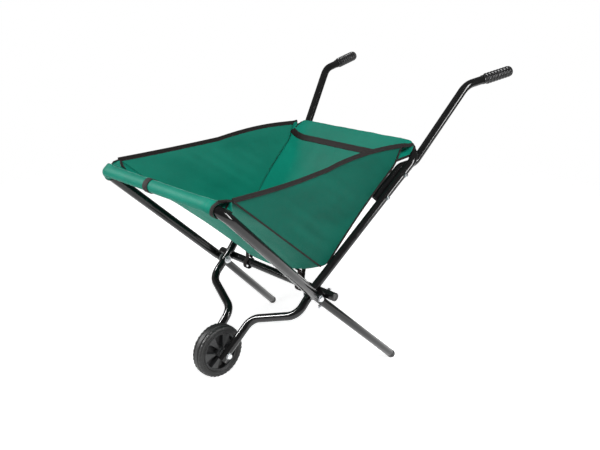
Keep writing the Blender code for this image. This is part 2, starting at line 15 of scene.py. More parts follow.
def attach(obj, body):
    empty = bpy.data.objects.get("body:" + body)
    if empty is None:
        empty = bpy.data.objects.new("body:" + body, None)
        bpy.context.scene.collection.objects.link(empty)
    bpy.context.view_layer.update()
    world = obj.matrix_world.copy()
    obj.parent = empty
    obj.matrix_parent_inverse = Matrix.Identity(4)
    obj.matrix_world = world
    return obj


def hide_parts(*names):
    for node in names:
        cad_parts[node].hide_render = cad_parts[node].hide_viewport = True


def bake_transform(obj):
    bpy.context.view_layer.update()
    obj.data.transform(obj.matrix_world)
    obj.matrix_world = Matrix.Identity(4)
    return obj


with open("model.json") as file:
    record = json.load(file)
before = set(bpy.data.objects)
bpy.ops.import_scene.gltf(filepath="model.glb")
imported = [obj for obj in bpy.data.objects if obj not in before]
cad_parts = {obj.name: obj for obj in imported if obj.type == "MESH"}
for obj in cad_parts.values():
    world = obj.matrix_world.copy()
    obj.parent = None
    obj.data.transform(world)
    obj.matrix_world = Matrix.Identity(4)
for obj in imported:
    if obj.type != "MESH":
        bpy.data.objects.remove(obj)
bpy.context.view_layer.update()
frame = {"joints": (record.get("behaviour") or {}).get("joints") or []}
JOINTS = {joint["name"]: joint for joint in frame["joints"]}
PIVOT = Vector(JOINTS["fold"]["pos_m"])
AXLE = Vector(JOINTS["wheel_spin"]["pos_m"])
SIDES = (("left", -1), ("right", 1))

# ------------------------------------------------------------ dimensions, as in the CAD
REAR_TILT = radians(45.0)
LEG_TILT = radians(42.7)
TUBE_R = 0.011
UPPER_R = 0.0125
WALL = 0.0012
PIVOT_HALF = 0.197
PIVOT_HEAD = 0.2098
PIVOT_NUT = 0.1589
REAR_HALF = 0.172
LEG_BAR_S = 0.446
LEG_BAR_HALF = 0.2374
LEG_BAR_BEND = 0.045
REAR_BAR_S = 0.470
REAR_BAR_HALF = 0.2388
REAR_BAR_BEND = 0.042
REAR_SPLAY_S = 0.020
FORK_KNEE = (0.172, -0.063)
FORK_ANKLE = (0.043, -0.121)
FORK_END = (0.0331, -0.2500)
LEG_SOCKET_S = 0.0100
LEG_IN_SOCKET = 0.014
FOOT_S = 0.3299
FOOT_HALF = 0.2462
CAP_R = 0.0112
CAP_DEPTH = 0.006
CROSS_TUBE_HALF = 0.2270
CROSS_TUBE_N = 2 * TUBE_R + 0.0003
CROSS_TUBE_ARM = CROSS_TUBE_N / sin((REAR_TILT + LEG_TILT) / 2)
CROSS_TUBE_ANGLE = (REAR_TILT - LEG_TILT) / 2
WHEEL_R = AXLE.z
RIM_R = 0.0510
AXLE_R = 0.0040
AXLE_HEAD = 0.0467
HANDLE_LOW_S = 0.300
HANDLE_BOLTS = (0.312, 0.388)
HANDLE_OFFSET = 0.0224
HANDLE_BENDS = ((0.2072, 0.408, 0.0), (0.2135, 0.448, -0.0322), (0.2606, 0.6882, 0.0042))
HANDLE_END = (0.2896, 0.8130, -0.0815)
BOLT_SEAT = 0.0122
GRIP_LENGTH = 0.108
GRIP_R = 0.0150
GRIP_VALLEY_R = 0.0117
CLOTH = 0.0009


def vec(x, y, z):
    return Vector((x, y, z))


def rear(x, s, n=0.0):
    """Point of the rear frame: s along its plane from the pivot, n off the plane."""
    return vec(x, PIVOT.y + s * cos(REAR_TILT) - n * sin(REAR_TILT),
               PIVOT.z + s * sin(REAR_TILT) + n * cos(REAR_TILT))


def leg(x, s, n=0.0):
    """Point of the leg frame: s towards the front bar, n off the plane, upward."""
    return vec(x, PIVOT.y - s * cos(LEG_TILT) + n * sin(LEG_TILT),
               PIVOT.z + s * sin(LEG_TILT) + n * cos(LEG_TILT))


REAR_NORMAL = rear(0, 0, 1) - rear(0, 0, 0)
LEG_NORMAL = leg(0, 0, 1) - leg(0, 0, 0)


def side_x(s):
    """Half width of the rear frame's side tubes at s."""
    run = (s - REAR_SPLAY_S) / (REAR_BAR_S - REAR_SPLAY_S)
    return REAR_HALF + (REAR_BAR_HALF - REAR_HALF) * run


# ------------------------------------------------------------ paths
def mirrored(points, sign):
    return [vec(p.x * sign, p.y, p.z) for p in points]


def moved(path, offset):
    return [p + offset for p in path]


def rounded(points, radii, steps=14):
    """Polyline with each inner corner replaced by an arc of the given radius."""
    out = [points[0]]
    for before, corner, after, radius in zip(points, points[1:], points[2:], radii):
        back = (before - corner).normalized()
        ahead = (after - corner).normalized()
        half = back.angle(ahead) / 2
        centre = corner + (back + ahead).normalized() * (radius / sin(half))
        start = corner + back * (radius / tan(half)) - centre
        stop = corner + ahead * (radius / tan(half)) - centre
        turn = start.angle(stop)
        for k in range(steps + 1):
            f = k / steps
            out.append(centre + start * (sin((1 - f) * turn) / sin(turn))
                       + stop * (sin(f * turn) / sin(turn)))
    return out + [points[-1]]


def resample(path, count):
    """Points at equal steps along a path."""
    lengths = [0.0]
    for a, b in zip(path, path[1:]):
        lengths.append(lengths[-1] + (b - a).length)
    out = []
    i = 0
    for k in range(count):
        want = lengths[-1] * k / (count - 1)
        while i < len(path) - 2 and lengths[i + 1] < want:
            i += 1
        span = lengths[i + 1] - lengths[i]
        out.append(path[i].lerp(path[i + 1], (want - lengths[i]) / span if span else 0.0))
    return out


def path_length(path):
    return sum((b - a).length for a, b in zip(path, path[1:]))


def ways(path):
    """The path's direction at each of its points."""
    last = len(path) - 1
    return [(path[min(i + 1, last)] - path[max(i - 1, 0)]).normalized()
            for i in range(last + 1)]


def squared(out, ahead):
    """A direction turned square to ahead, and the one across both."""
    out = (out - ahead * out.dot(ahead)).normalized()
    return out, ahead.cross(out)


def carried(path, side=None):
    """(point, side, up, ahead) at each point of a path, turned as little as possible."""
    out = []
    for point, ahead in zip(path, ways(path)):
        side, up = squared(side or ahead.orthogonal(), ahead)
        out.append((point, side, up, ahead))
    return out


def circle(radius, sides):
    turns = [2 * pi * k / sides for k in range(sides)]
    return [(radius * cos(turn), radius * sin(turn)) for turn in turns]


def drawn(point, side, up, outline):
    """A flat outline [(a, b), ...] set out in space."""
    return [point + side * a + up * b for a, b in outline]


def along(direction, centre):
    """Matrix that turns +Z into a direction and moves the origin to a centre."""
    return Matrix.Translation(centre) @ direction.to_track_quat("Z", "Y").to_matrix().to_4x4()


def across(centre, sign=1):
    return along(vec(sign, 0, 0), centre)


# ------------------------------------------------------------ mesh making
class Shape:
    """Vertices, faces and UVs in metres, gathered for one piece."""

    def __init__(self):
        self.verts = []
        self.faces = []
        self.uvs = []
        self.slots = []

    def face(self, corners, uvs, slot):
        self.faces.append(corners)
        self.uvs.extend(uvs)
        self.slots.append(slot)

    def rows(self, rows, wrap=False, caps=(False, False), slot=0, centred=False):
        """Skin over rows of points. wrap joins each row's end to its start."""
        base = len(self.verts)
        wide = len(rows[0])
        spans = wide if wrap else wide - 1
        run = []
        for row in rows:
            at = [0.0]
            for j in range(1, spans + 1):
                at.append(at[-1] + (row[j % wide] - row[j - 1]).length)
            shift = at[-1] / 2 if centred else 0.0
            run.append([u - shift for u in at])
            self.verts.extend(row)
        down = [0.0]
        for a, b in zip(rows, rows[1:]):
            down.append(down[-1] + (b[wide // 2] - a[wide // 2]).length)
        for i in range(len(rows) - 1):
            a = base + i * wide
            for j in range(spans):
                k = (j + 1) % wide
                self.face((a + j, a + k, a + wide + k, a + wide + j), (
                    (run[i][j], down[i]), (run[i][j + 1], down[i]),
                    (run[i + 1][j + 1], down[i + 1]), (run[i + 1][j], down[i + 1])), slot)
        for index, wanted in ((0, caps[0]), (len(rows) - 1, caps[1])):
            if wanted:
                ring = [base + index * wide + j for j in range(wide)]
                if index == 0:
                    ring.reverse()
                centre = sum((self.verts[v] for v in ring), Vector()) / wide
                flat = [self.verts[v] - centre for v in ring]
                self.face(tuple(ring), [(p.x, p.z) for p in flat], slot)

    def turned(self, profile, matrix, steps=48, caps=(False, False)):
        """A profile of (radius, height) points turned about the matrix's Z."""
        rings = [[matrix @ vec(a, b, h) for a, b in circle(max(r, 1e-6), steps)]
                 for r, h in profile]
        self.rows(rings, True, caps)

    def made(self, name, materials, angle):
        mesh = bpy.data.meshes.new(name)
        mesh.from_pydata([tuple(v) for v in self.verts], [], self.faces)
        layer = mesh.uv_layers.new(name="UVMap")
        layer.data.foreach_set("uv", [c for uv in self.uvs for c in uv])
        for mat in materials:
            mesh.materials.append(mat)
        mesh.polygons.foreach_set("material_index", self.slots)
        bm = bmesh.new()
        bm.from_mesh(mesh)
        bmesh.ops.recalc_face_normals(bm, faces=bm.faces)
        bm.to_mesh(mesh)
        bm.free()
        mesh.shade_smooth()
        mesh.set_sharp_from_angle(angle=radians(angle))
        return linked(name, mesh)


def linked(name, data):
    obj = bpy.data.objects.new(name, data)
    bpy.context.scene.collection.objects.link(obj)
    return obj


# ------------------------------------------------------------ materials
class Paint:
    """A Principled material with helpers for its node tree."""

    def __init__(self, name, colour, rough, metal=0.0, specular=0.5):
        self.mat = bpy.data.materials.new(name)
        self.mat.use_nodes = True
        self.mat.diffuse_color = (*colour, 1.0)
        self.tree = self.mat.node_tree
        self.shader = self.tree.nodes["Principled BSDF"]
        self["Base Color"] = (*colour, 1.0)
        self["Roughness"] = rough
        self["Metallic"] = metal
        self["Specular IOR Level"] = specular
        self.uv = self.node("UVMap").outputs["UV"]

    def __setitem__(self, name, value):
        self.feed(self.shader.inputs[name], value)

    def feed(self, socket, value):
        """Links an output to an input socket, or sets the input's value."""
        if isinstance(value, bpy.types.NodeSocket):
            self.tree.links.new(value, socket)
        else:
            socket.default_value = value

    def node(self, kind, *inputs):
        """A new node; inputs are pairs of a socket's name and its value or source."""
        node = self.tree.nodes.new("ShaderNode" + kind)
        for name, value in inputs:
            self.feed(node.inputs[name], value)
        return node

    def noise(self, scale, detail=3.0, rough=0.55, stretch=(1, 1, 1)):
        """Noise over the surface; scale is in features per metre."""
        place = self.node("Mapping", ("Vector", self.uv), ("Scale", stretch)).outputs["Vector"]
        node = self.node("TexNoise", ("Vector", place), ("Scale", scale),
                         ("Detail", detail), ("Roughness", rough))
        return node.outputs["Fac"]

    def calc(self, kind, a, b=0.0):
        node = self.node("Math")
        node.operation = kind
        for socket, value in zip(node.inputs, (a, b)):
            self.feed(socket, value)
        return node.outputs[0]

    def axes(self):
        return self.node("SeparateXYZ", ("Vector", self.uv)).outputs[:2]

    def wave(self, coordinate, pitch, shift=0.0):
        """Sine of a coordinate in metres, from 0 to 1."""
        turned = self.calc("MULTIPLY", coordinate, 2 * pi / pitch)
        sine = self.calc("SINE", self.calc("ADD", turned, shift))
        return self.calc("ADD", self.calc("MULTIPLY", sine, 0.5), 0.5)

    def ramp(self, factor, *stops):
        node = self.node("ValToRGB", ("Fac", factor))
        ramp = node.color_ramp
        while len(ramp.elements) < len(stops):
            ramp.elements.new(0.5)
        for element, (at, colour) in zip(ramp.elements, stops):
            element.position = at
            element.color = (*colour, 1.0)
        return node.outputs["Color"]

    def spread(self, factor, low, high, out_low, out_high, soft=False):
        node = self.node("MapRange", ("Value", factor), ("From Min", low), ("From Max", high),
                         ("To Min", out_low), ("To Max", out_high))
        if soft:
            node.interpolation_type = "SMOOTHSTEP"
        return node.outputs["Result"]

    def mix(self, factor, a, b):
        """From colour a, which is an output, to colour b, which is a value."""
        node = self.node("Mix")
        node.data_type = "RGBA"
        for name, value in (("Factor", factor), ("A", a), ("B", (*b, 1.0))):
            self.feed([s for s in node.inputs if s.name == name and s.enabled][0], value)
        return [s for s in node.outputs if s.enabled][0]

    def bump(self, height, strength, distance, *after):
        node = self.node("Bump", ("Height", height), ("Strength", strength),
                         ("Distance", distance), *(("Normal", normal) for normal in after))
        return node.outputs["Normal"]


def shade(colour, factor):
    return tuple(min(1.0, c * factor) for c in colour)


def coat_paint():
    """Gloss black powder coat: faint orange peel, handling marks, a little dust."""
    paint = Paint("black_powder_coat", (0.0060, 0.0060, 0.0064), 0.20, 0.0, 0.34)
    marks = paint.noise(38, 4, 0.6)
    worn = paint.spread(paint.noise(160, 3, 0.65, (1, 0.18, 1)), 0.66, 0.74, 0.0, 1.0)
    colour = paint.ramp(marks, (0.30, (0.0048, 0.0048, 0.0051)),
                        (0.75, (0.0085, 0.0083, 0.0081)))
    paint["Base Color"] = paint.mix(worn, colour, (0.030, 0.030, 0.031))
    wear = paint.calc("ADD", marks, paint.calc("MULTIPLY", worn, 0.4))
    paint["Roughness"] = paint.spread(wear, 0.3, 1.1, 0.11, 0.30)
    paint["Normal"] = paint.bump(paint.noise(900, 2, 0.5), 0.035, 0.0003)
    paint["Coat Weight"] = 0.12
    paint["Coat Roughness"] = 0.05
    return paint.mat


def zinc_paint():
    """Bright zinc plate, brushed a little, with dull patches."""
    paint = Paint("zinc_plate", (0.62, 0.63, 0.65), 0.30, 1.0)
    patches = paint.noise(260, 4, 0.6)
    paint["Base Color"] = paint.ramp(patches, (0.3, (0.50, 0.51, 0.53)),
                                     (0.55, (0.66, 0.67, 0.69)), (0.8, (0.60, 0.58, 0.52)))
    paint["Roughness"] = paint.spread(patches, 0.3, 0.8, 0.20, 0.42)
    paint["Normal"] = paint.bump(paint.noise(1500, 2, 0.5, (1, 0.08, 1)), 0.15, 0.0002)
    return paint.mat


def plastic_paint(name, colour, rough):
    """Moulded plastic: fine spark-eroded grain and slight colour drift."""
    paint = Paint(name, colour, rough)
    drift = paint.noise(45, 3, 0.6)
    paint["Base Color"] = paint.ramp(drift, (0.3, shade(colour, 0.82)),
                                     (0.75, shade(colour, 1.22)))
    paint["Roughness"] = paint.spread(drift, 0.3, 0.8, rough - 0.07, rough + 0.10)
    paint["Normal"] = paint.bump(paint.noise(1700, 2, 0.5), 0.07, 0.0002)
    return paint.mat


def rubber_paint():
    """Solid rubber: matt, with a greyish bloom and fine dust in scattered patches."""
    paint = Paint("tyre_rubber_worn", (0.014, 0.014, 0.0145), 0.60, 0.0, 0.4)
    bloom = paint.noise(55, 5, 0.62)
    dust = paint.spread(paint.noise(420, 3, 0.7), 0.62, 0.80, 0.0, 0.35)
    base = paint.ramp(bloom, (0.30, (0.009, 0.009, 0.0092)), (0.70, (0.022, 0.022, 0.022)))
    paint["Base Color"] = paint.mix(dust, base, (0.055, 0.052, 0.048))
    paint["Roughness"] = paint.spread(bloom, 0.3, 0.8, 0.42, 0.66)
    paint["Normal"] = paint.bump(paint.noise(1800, 3, 0.6), 0.25, 0.0004)
    return paint.mat


CLOTH_COLOUR = (0.0035, 0.200, 0.138)
THREAD_PITCH = 0.00078


def cloth_paint(name, colour):
    """Coated polyester: plain weave, slubs, soft fading and a light sheen."""
    paint = Paint(name, colour, 0.58, 0.0, 0.13)
    u, v = paint.axes()
    weft = paint.wave(v, THREAD_PITCH, pi / 2)
    over = paint.calc("ABSOLUTE", paint.calc("SUBTRACT", paint.wave(u, THREAD_PITCH), weft))
    slub_u = paint.noise(900, 2, 0.5, (1, 0.03, 1))
    slub_v = paint.noise(900, 2, 0.5, (0.03, 1, 1))
    slubs = paint.calc("MULTIPLY", paint.calc("ADD", slub_u, slub_v), 0.5)
    marks = paint.noise(60, 5, 0.65)
    body = paint.ramp(paint.noise(7.5, 4, 0.58), (0.28, shade(colour, 0.88)),
                      (0.72, shade(colour, 1.12)))
    body = paint.mix(paint.spread(over, 0.0, 1.0, 0.0, 0.22), body, shade(colour, 0.55))
    body = paint.mix(paint.spread(slubs, 0.42, 0.66, 0.0, 0.22), body, shade(colour, 1.5))
    body = paint.mix(paint.spread(marks, 0.60, 0.85, 0.0, 0.12), body, (0.10, 0.22, 0.17))
    paint["Base Color"] = body
    paint["Roughness"] = paint.spread(marks, 0.25, 0.80, 0.50, 0.66)
    low = paint.bump(paint.noise(55, 3, 0.5), 0.10, 0.004)
    height = paint.calc("ADD", paint.calc("MULTIPLY", over, -0.6),
                        paint.calc("MULTIPLY", slubs, 0.5))
    paint["Normal"] = paint.bump(height, 0.35, 0.00035, low)
    paint["Sheen Weight"] = 0.015
    paint["Sheen Roughness"] = 0.45
    paint["Sheen Tint"] = (0.75, 1.0, 0.92, 1.0)
    return paint.mat


def webbing_paint():
    """Flat woven tape: close cross ribs in a herringbone, dark brown-black."""
    paint = Paint("dark_webbing", (0.016, 0.0110, 0.0100), 0.78, 0.0, 0.25)
    u, v = paint.axes()
    zigzag = paint.calc("MULTIPLY", paint.calc("PINGPONG", u, 0.0025), 0.8)
    ribs = paint.wave(paint.calc("ADD", v, zigzag), 0.00125)
    yarns = paint.calc("MULTIPLY", paint.wave(u, 0.00090), 0.5)
    weave = paint.calc("MULTIPLY", ribs, paint.calc("ADD", yarns, 0.5))
    fuzz = paint.noise(700, 3, 0.7)
    tone = paint.ramp(weave, (0.0, (0.0070, 0.0050, 0.0048)), (0.9, (0.024, 0.0165, 0.0150)))
    paint["Base Color"] = paint.mix(paint.spread(fuzz, 0.50, 0.80, 0.0, 0.25), tone,
                                    (0.042, 0.032, 0.030))
    paint["Roughness"] = paint.spread(fuzz, 0.3, 0.8, 0.68, 0.88)
    paint["Normal"] = paint.bump(weave, 0.55, 0.00045)
    paint["Sheen Weight"] = 0.03
    paint["Sheen Roughness"] = 0.5
    return paint.mat


def thread_paint(name, colour):
    paint = Paint(name, colour, 0.6)
    paint["Base Color"] = paint.ramp(paint.noise(1200, 2, 0.5), (0.3, shade(colour, 0.7)),
                                     (0.7, shade(colour, 1.3)))
    return paint.mat


COAT = coat_paint()
ZINC = zinc_paint()
GRIP = plastic_paint("grip_moulding", (0.014, 0.014, 0.0148), 0.34)
HUB = plastic_paint("hub_moulding", (0.020, 0.021, 0.022), 0.46)
NYLON = plastic_paint("nylon_washer", (0.50, 0.51, 0.52), 0.45)
RUBBER = rubber_paint()
GREEN = cloth_paint("green_cloth", CLOTH_COLOUR)
TAPE = webbing_paint()
# Pale green thread, lighter than the cloth: real stitching that is also a painted highlight
# along the front sleeve's folded top and bottom edges.
STITCH_AND_HIGHLIGHT_THREAD = thread_paint("green_thread_and_painted_highlight", (0.11, 0.36, 0.29))
DARK_THREAD = thread_paint("dark_thread", (0.05, 0.038, 0.036))


# ------------------------------------------------------------ pieces
# Two points off the rear frame's plane, the first close to it and the second far from it;
# they are the defaults of blended's start and end.
FOLD_BLEND = (rear(0, 0.30, 0.020), rear(0, 0.30, 0.438))


def placed(piece, body, slot, *nodes):
    """Rides on a body and stands for CAD nodes. slot is not used."""
    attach(piece, body)
    if nodes:
        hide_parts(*nodes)
    return piece


def blended(piece, slot, *nodes, start=FOLD_BLEND[0], end=FOLD_BLEND[1]):
    """Cloth baked where it stands, in place of CAD nodes, and put on no body."""
    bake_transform(piece)
    if nodes:
        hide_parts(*nodes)
    return piece


def moulded(shape, node, body):
    return placed(shape.made(node + "_moulded", [GRIP], 50), body, "grip_plastic", node)


def plated(shape, node, body):
    return placed(shape.made(node + "_plated", [ZINC], 30), body, "zinc", node)


def cloth(shape, name, angle=180):
    """A cloth piece with its thickness."""
    piece = shape.made(name + "_cloth", [GREEN], angle)
    shell = piece.modifiers.new("thickness", "SOLIDIFY")
    shell.thickness = CLOTH
    shell.offset = 0.0
    return piece


def taped(shape, name, *threads):
    return shape.made(name + "_tape", [TAPE, *threads], 50)


# ------------------------------------------------------------ tubes
TUBE_SIDES = 36
LIP = 0.0005
LIP_LENGTH = 0.0009
BORE_DEPTH = 0.016


def coated_tube(node, body, path, radius=TUBE_R, opened=(True, True)):
    """Tube along a path. An opened end shows its wall and bore; the other is plain."""
    fine = list(path)
    fine.insert(1, fine[0] + (fine[1] - fine[0]).normalized() * LIP_LENGTH)
    fine.insert(-1, fine[-1] + (fine[-2] - fine[-1]).normalized() * LIP_LENGTH)
    frames = carried(fine)
    radii = [radius - LIP] + [radius] * (len(fine) - 2) + [radius - LIP]
    rings = [drawn(*at[:3], circle(r, TUBE_SIDES)) for at, r in zip(frames, radii)]
    bore = radius - WALL
    for end in (0, 1):
        if opened[end]:
            p, side, up, ahead = frames[-end]
            inward = -ahead if end else ahead
            inner = [drawn(p + inward * depth, side, up, circle(r, TUBE_SIDES))
                     for r, depth in ((bore, 0.0), (bore - 0.0002, LIP), (bore, BORE_DEPTH),
                                      (0.001, BORE_DEPTH))]
            rings = rings + inner if end else inner[::-1] + rings
    shape = Shape()
    shape.rows(rings, True, (True, True))
    return placed(shape.made(node + "_coated", [COAT], 40), body, "black_coat", node)


def rear_frame_tube():
    half = [rear(*FORK_END), rear(*FORK_ANKLE), rear(*FORK_KNEE),
            rear(REAR_HALF, REAR_SPLAY_S), rear(REAR_BAR_HALF, REAR_BAR_S)]
    radii = [0.042, 0.042, 0.080, REAR_BAR_BEND]
    path = rounded(half + mirrored(reversed(half), -1), radii + radii[::-1])
    coated_tube("rear_frame", "rear_frame", path)


FRONT_HALF = [leg(PIVOT_HALF + 0.0007, LEG_SOCKET_S), leg(LEG_BAR_HALF, LEG_BAR_S)]
FRONT_PATH = rounded(FRONT_HALF + mirrored(reversed(FRONT_HALF), -1), [LEG_BAR_BEND] * 2, 18)


def lower_leg(side, sign):
    """Lower leg and its domed cap, with a moulding line and a flat worn by the ground."""
    top = FRONT_HALF[0] + (FRONT_HALF[1] - FRONT_HALF[0]).normalized() * LEG_IN_SOCKET
    bend = leg(PIVOT_HALF, 0)
    foot = leg(FOOT_HALF, -FOOT_S)
    down = (foot - bend).normalized()
    path = mirrored(rounded([top, bend, foot - down * CAP_DEPTH], [0.050], 6), sign)
    coated_tube("lower_leg_" + side, "leg_frame", path, opened=(False, False))
    profile = [(0.0093, 0.0002), (0.0106, 0.0002), (CAP_R, -0.0004), (CAP_R, -0.0024),
               (0.01105, -0.0027), (CAP_R, -0.0030), (CAP_R, -CAP_DEPTH)]
    for k in range(1, 14):
        turn = radians(90 * k / 13.5)
        profile.append((CAP_R * cos(turn), -CAP_DEPTH - CAP_R * sin(turn)))
    shape = Shape()
    shape.turned(profile, along(-vec(down.x * sign, down.y, down.z), path[-1]), 40, (True, True))
    for v in shape.verts:
        v.z = max(v.z, 0.0)
    moulded(shape, "foot_cap_" + side, "leg_frame")


CROSS_AXIS = PIVOT + vec(0, CROSS_TUBE_ARM * cos(CROSS_TUBE_ANGLE),
                         CROSS_TUBE_ARM * sin(CROSS_TUBE_ANGLE))
CROSS_AXIS.x = 0
CROSS_CAP = ((0.0092, -0.0020), (0.0092, 0.0003), (0.0109, 0.0003), (0.0112, 0.0006),
             (0.0112, 0.0012), (0.0108, 0.0020), (0.0098, 0.0028), (0.0080, 0.0033),
             (0.0060, 0.0036), (0.0055, 0.0032), (0.0020, 0.0031))


def cross_tube():
    ends = [CROSS_AXIS + vec(CROSS_TUBE_HALF * sign, 0, 0) for _, sign in SIDES]
    coated_tube("cross_tube", "leg_frame", resample(ends, 9))
    for (side, sign), mouth in zip(SIDES, ends):
        shape = Shape()
        shape.turned(CROSS_CAP, across(mouth, sign), 40, (True, True))
        moulded(shape, "cross_tube_cap_" + side, "leg_frame")


def handle(side, sign):
    low = rear(side_x(HANDLE_LOW_S) - HANDLE_OFFSET, HANDLE_LOW_S)
    bends = [rear(*bend) for bend in HANDLE_BENDS]
    points = mirrored([low, *bends, rear(*HANDLE_END)], sign)
    coated_tube("handle_" + side, "rear_frame", rounded(points, [0.030, 0.030, 0.055]),
                opened=(True, False))
    grip(side, points[-1], (points[-1] - points[-2]).normalized())


def grip(side, end, reach):
    """Ribbed grip: a smooth flared collar, finger rings and a domed end."""
    outline = []
    for k in range(9):
        turn = radians(90 * k / 9)
        outline.append((0.0142 * sin(turn) ** 0.8, 0.0045 + 0.0075 * cos(turn)))
    pitch = 0.0112
    rib = 0.0076
    for k in range(8):
        top = 0.0032 - k * pitch
        for f in range(9):
            swell = sin(pi * f / 8) ** 0.55
            outline.append((GRIP_VALLEY_R + (GRIP_R - GRIP_VALLEY_R) * swell,
                            top - rib * f / 8))
        outline.append((0.0114, top - (rib + pitch) / 2))
    base = 0.0120 - GRIP_LENGTH
    outline += [(r, base + rise) for r, rise in (
        (0.0122, 0.0145), (0.0121, 0.0070), (0.0122, 0.0030), (0.0122, 0.0006), (0.0118, 0),
        (TUBE_R + 0.0004, 0), (TUBE_R + 0.0002, 0.004))]
    shape = Shape()
    shape.turned(outline, along(reach, end), 48, (True, False))
    moulded(shape, "grip_" + side, "rear_frame")


# ------------------------------------------------------------ fasteners
HEX_STEPS = 72
THREAD_STEP = 0.00125
BEVEL = 0.0003
# width across flats, height and radius
M8_BOLT = (0.013, 0.0055, 0.0040)
M8_NUT = (0.013, 0.0065, 0.0043)
M6_BOLT = (0.010, 0.0040, 0.0030)
M6_NUT = (0.010, 0.0050, 0.0033)


def add_hex(shape, flats, height, matrix, bore=0.0, dome=0.0):
    """Chamfered hexagon; the chamfer is a cone cut across its corners."""
    corner = flats / 2 / cos(pi / 6)
    rings = []
    for z, limit in ((0.0, flats / 2 * 0.97), (height * 0.12, corner),
                     (height * 0.82, corner), (height, flats / 2 * 0.95)):
        ring = []
        for k in range(HEX_STEPS):
            turn = 2 * pi * k / HEX_STEPS
            r = min(flats / 2 / cos((turn + pi / 6) % (pi / 3) - pi / 6), limit)
            ring.append(vec(r * cos(turn), r * sin(turn), z))
        rings.append(ring)
    inner = [(flats * 0.36, height + dome * 0.5), (max(bore, 0.0004), height + dome)]
    if bore:
        inner.append((bore, height * 0.4))
    rings += [[vec(a, b, z) for a, b in circle(r, HEX_STEPS)] for r, z in inner]
    shape.rows([[matrix @ v for v in ring] for ring in rings], True, (True, True))


def add_thread(shape, radius, low, high, matrix):
    """Threaded end of a bolt, between two heights of the matrix's Z."""
    profile = [(0.0002, high), (radius * 0.80, high), (radius * 0.98, high - 0.0006)]
    z = high - 0.0006 - THREAD_STEP / 2
    while z > low:
        profile += [(radius * 0.90, z), (radius, z - THREAD_STEP / 2)]
        z -= THREAD_STEP
    profile.append((radius, low))
    shape.turned(profile, matrix, 24, (True, True))


def bolt(node, body, matrix, size, length):
    """Hex bolt whose head stands on the matrix's XY plane, threaded along its length."""
    flats, head, radius = size
    shape = Shape()
    add_hex(shape, flats, head, matrix, dome=0.0004)
    add_thread(shape, radius, -length, -0.0002, matrix)
    shape.turned([(flats * 0.62, 0.0), (flats * 0.62, -BEVEL), (radius, -BEVEL)], matrix, 32)
    plated(shape, node, body)


def nut(node, body, matrix, size, stub):
    """Hex nut on the matrix's XY plane, with the bolt's end in it."""
    flats, height, bore = size
    shape = Shape()
    add_hex(shape, flats, height, matrix, bore)
    add_thread(shape, bore * 0.92, height * 0.3, height + stub, matrix)
    plated(shape, node, body)


def disc(node, matrix, bore, outer, low, high, steps=40, mat=ZINC, slot="zinc"):
    """Bevelled washer or spacer, between two heights of the matrix's Z."""
    loop = [(bore, low), (outer - BEVEL, low), (outer, low + BEVEL), (outer, high - BEVEL),
            (outer - BEVEL, high), (bore, high), (bore, low)]
    shape = Shape()
    shape.turned(loop, matrix, steps)
    placed(shape.made(node + "_disc", [mat], 30), "rear_frame", slot, node)


def fasteners():
    cross_s = CROSS_TUBE_ARM * cos(CROSS_TUBE_ANGLE + LEG_TILT)
    cross_x = PIVOT_HALF + (FOOT_HALF - PIVOT_HALF) * cross_s / FOOT_S
    for side, sign in SIDES:
        bolt("pivot_bolt_" + side, "rear_frame",
             across(PIVOT + vec(sign * PIVOT_HEAD, 0, 0), sign), M8_BOLT, 0.0600)
        nut("pivot_nut_" + side, "rear_frame",
            across(PIVOT + vec(sign * PIVOT_NUT, 0, 0), -sign), M8_NUT, 0.0020)
        top = leg(cross_x * sign, -cross_s, CROSS_TUBE_N + TUBE_R + 0.0004)
        bolt("cross_bolt_" + side, "leg_frame", along(LEG_NORMAL, top), M6_BOLT, 0.0530)
        under = leg(cross_x * sign, -cross_s, -TUBE_R - 0.0004)
        nut("cross_nut_" + side, "leg_frame", along(-LEG_NORMAL, under), M6_NUT, 0.0030)
        for tag, s in zip(("lower", "upper"), HANDLE_BOLTS):
            outside = across(rear((side_x(s) + BOLT_SEAT) * sign, s), sign)
            bolt("handle_bolt_%s_%s" % (side, tag), "rear_frame", outside, M6_BOLT, 0.0540)
            inside = across(rear((side_x(s) - HANDLE_OFFSET - BOLT_SEAT) * sign, s), -sign)
            nut("handle_nut_%s_%s" % (side, tag), "rear_frame", inside, M6_NUT, 0.0020)
        pivot = across(PIVOT, sign)
        disc("pivot_washer_" + side, pivot, 0.0043, 0.0110, 0.1592, 0.1607)
        disc("pivot_spacer_" + side, pivot, 0.0043, 0.0110, 0.1833, 0.1857,
             mat=NYLON, slot="spacer_plastic")
        disc("axle_spacer_" + side, across(AXLE, sign), 0.0044, 0.0075, 0.0188, 0.0226, 32)
    bolt("axle_bolt", "rear_frame", across(AXLE + vec(AXLE_HEAD, 0, 0)),
         (0.013, 0.0053, AXLE_R), 0.1010)
    nut("axle_nut", "rear_frame", across(AXLE - vec(AXLE_HEAD, 0, 0), -1),
        (0.013, 0.0080, 0.0043), 0.0)


# ------------------------------------------------------------ wheel
TYRE_STEPS = 144
TYRE_BLOCKS = 36
BLOCK_GAP = 0.26
BLOCK_CUT = 0.0011
SPOKES = 6
HUB_WEB = 0.0012


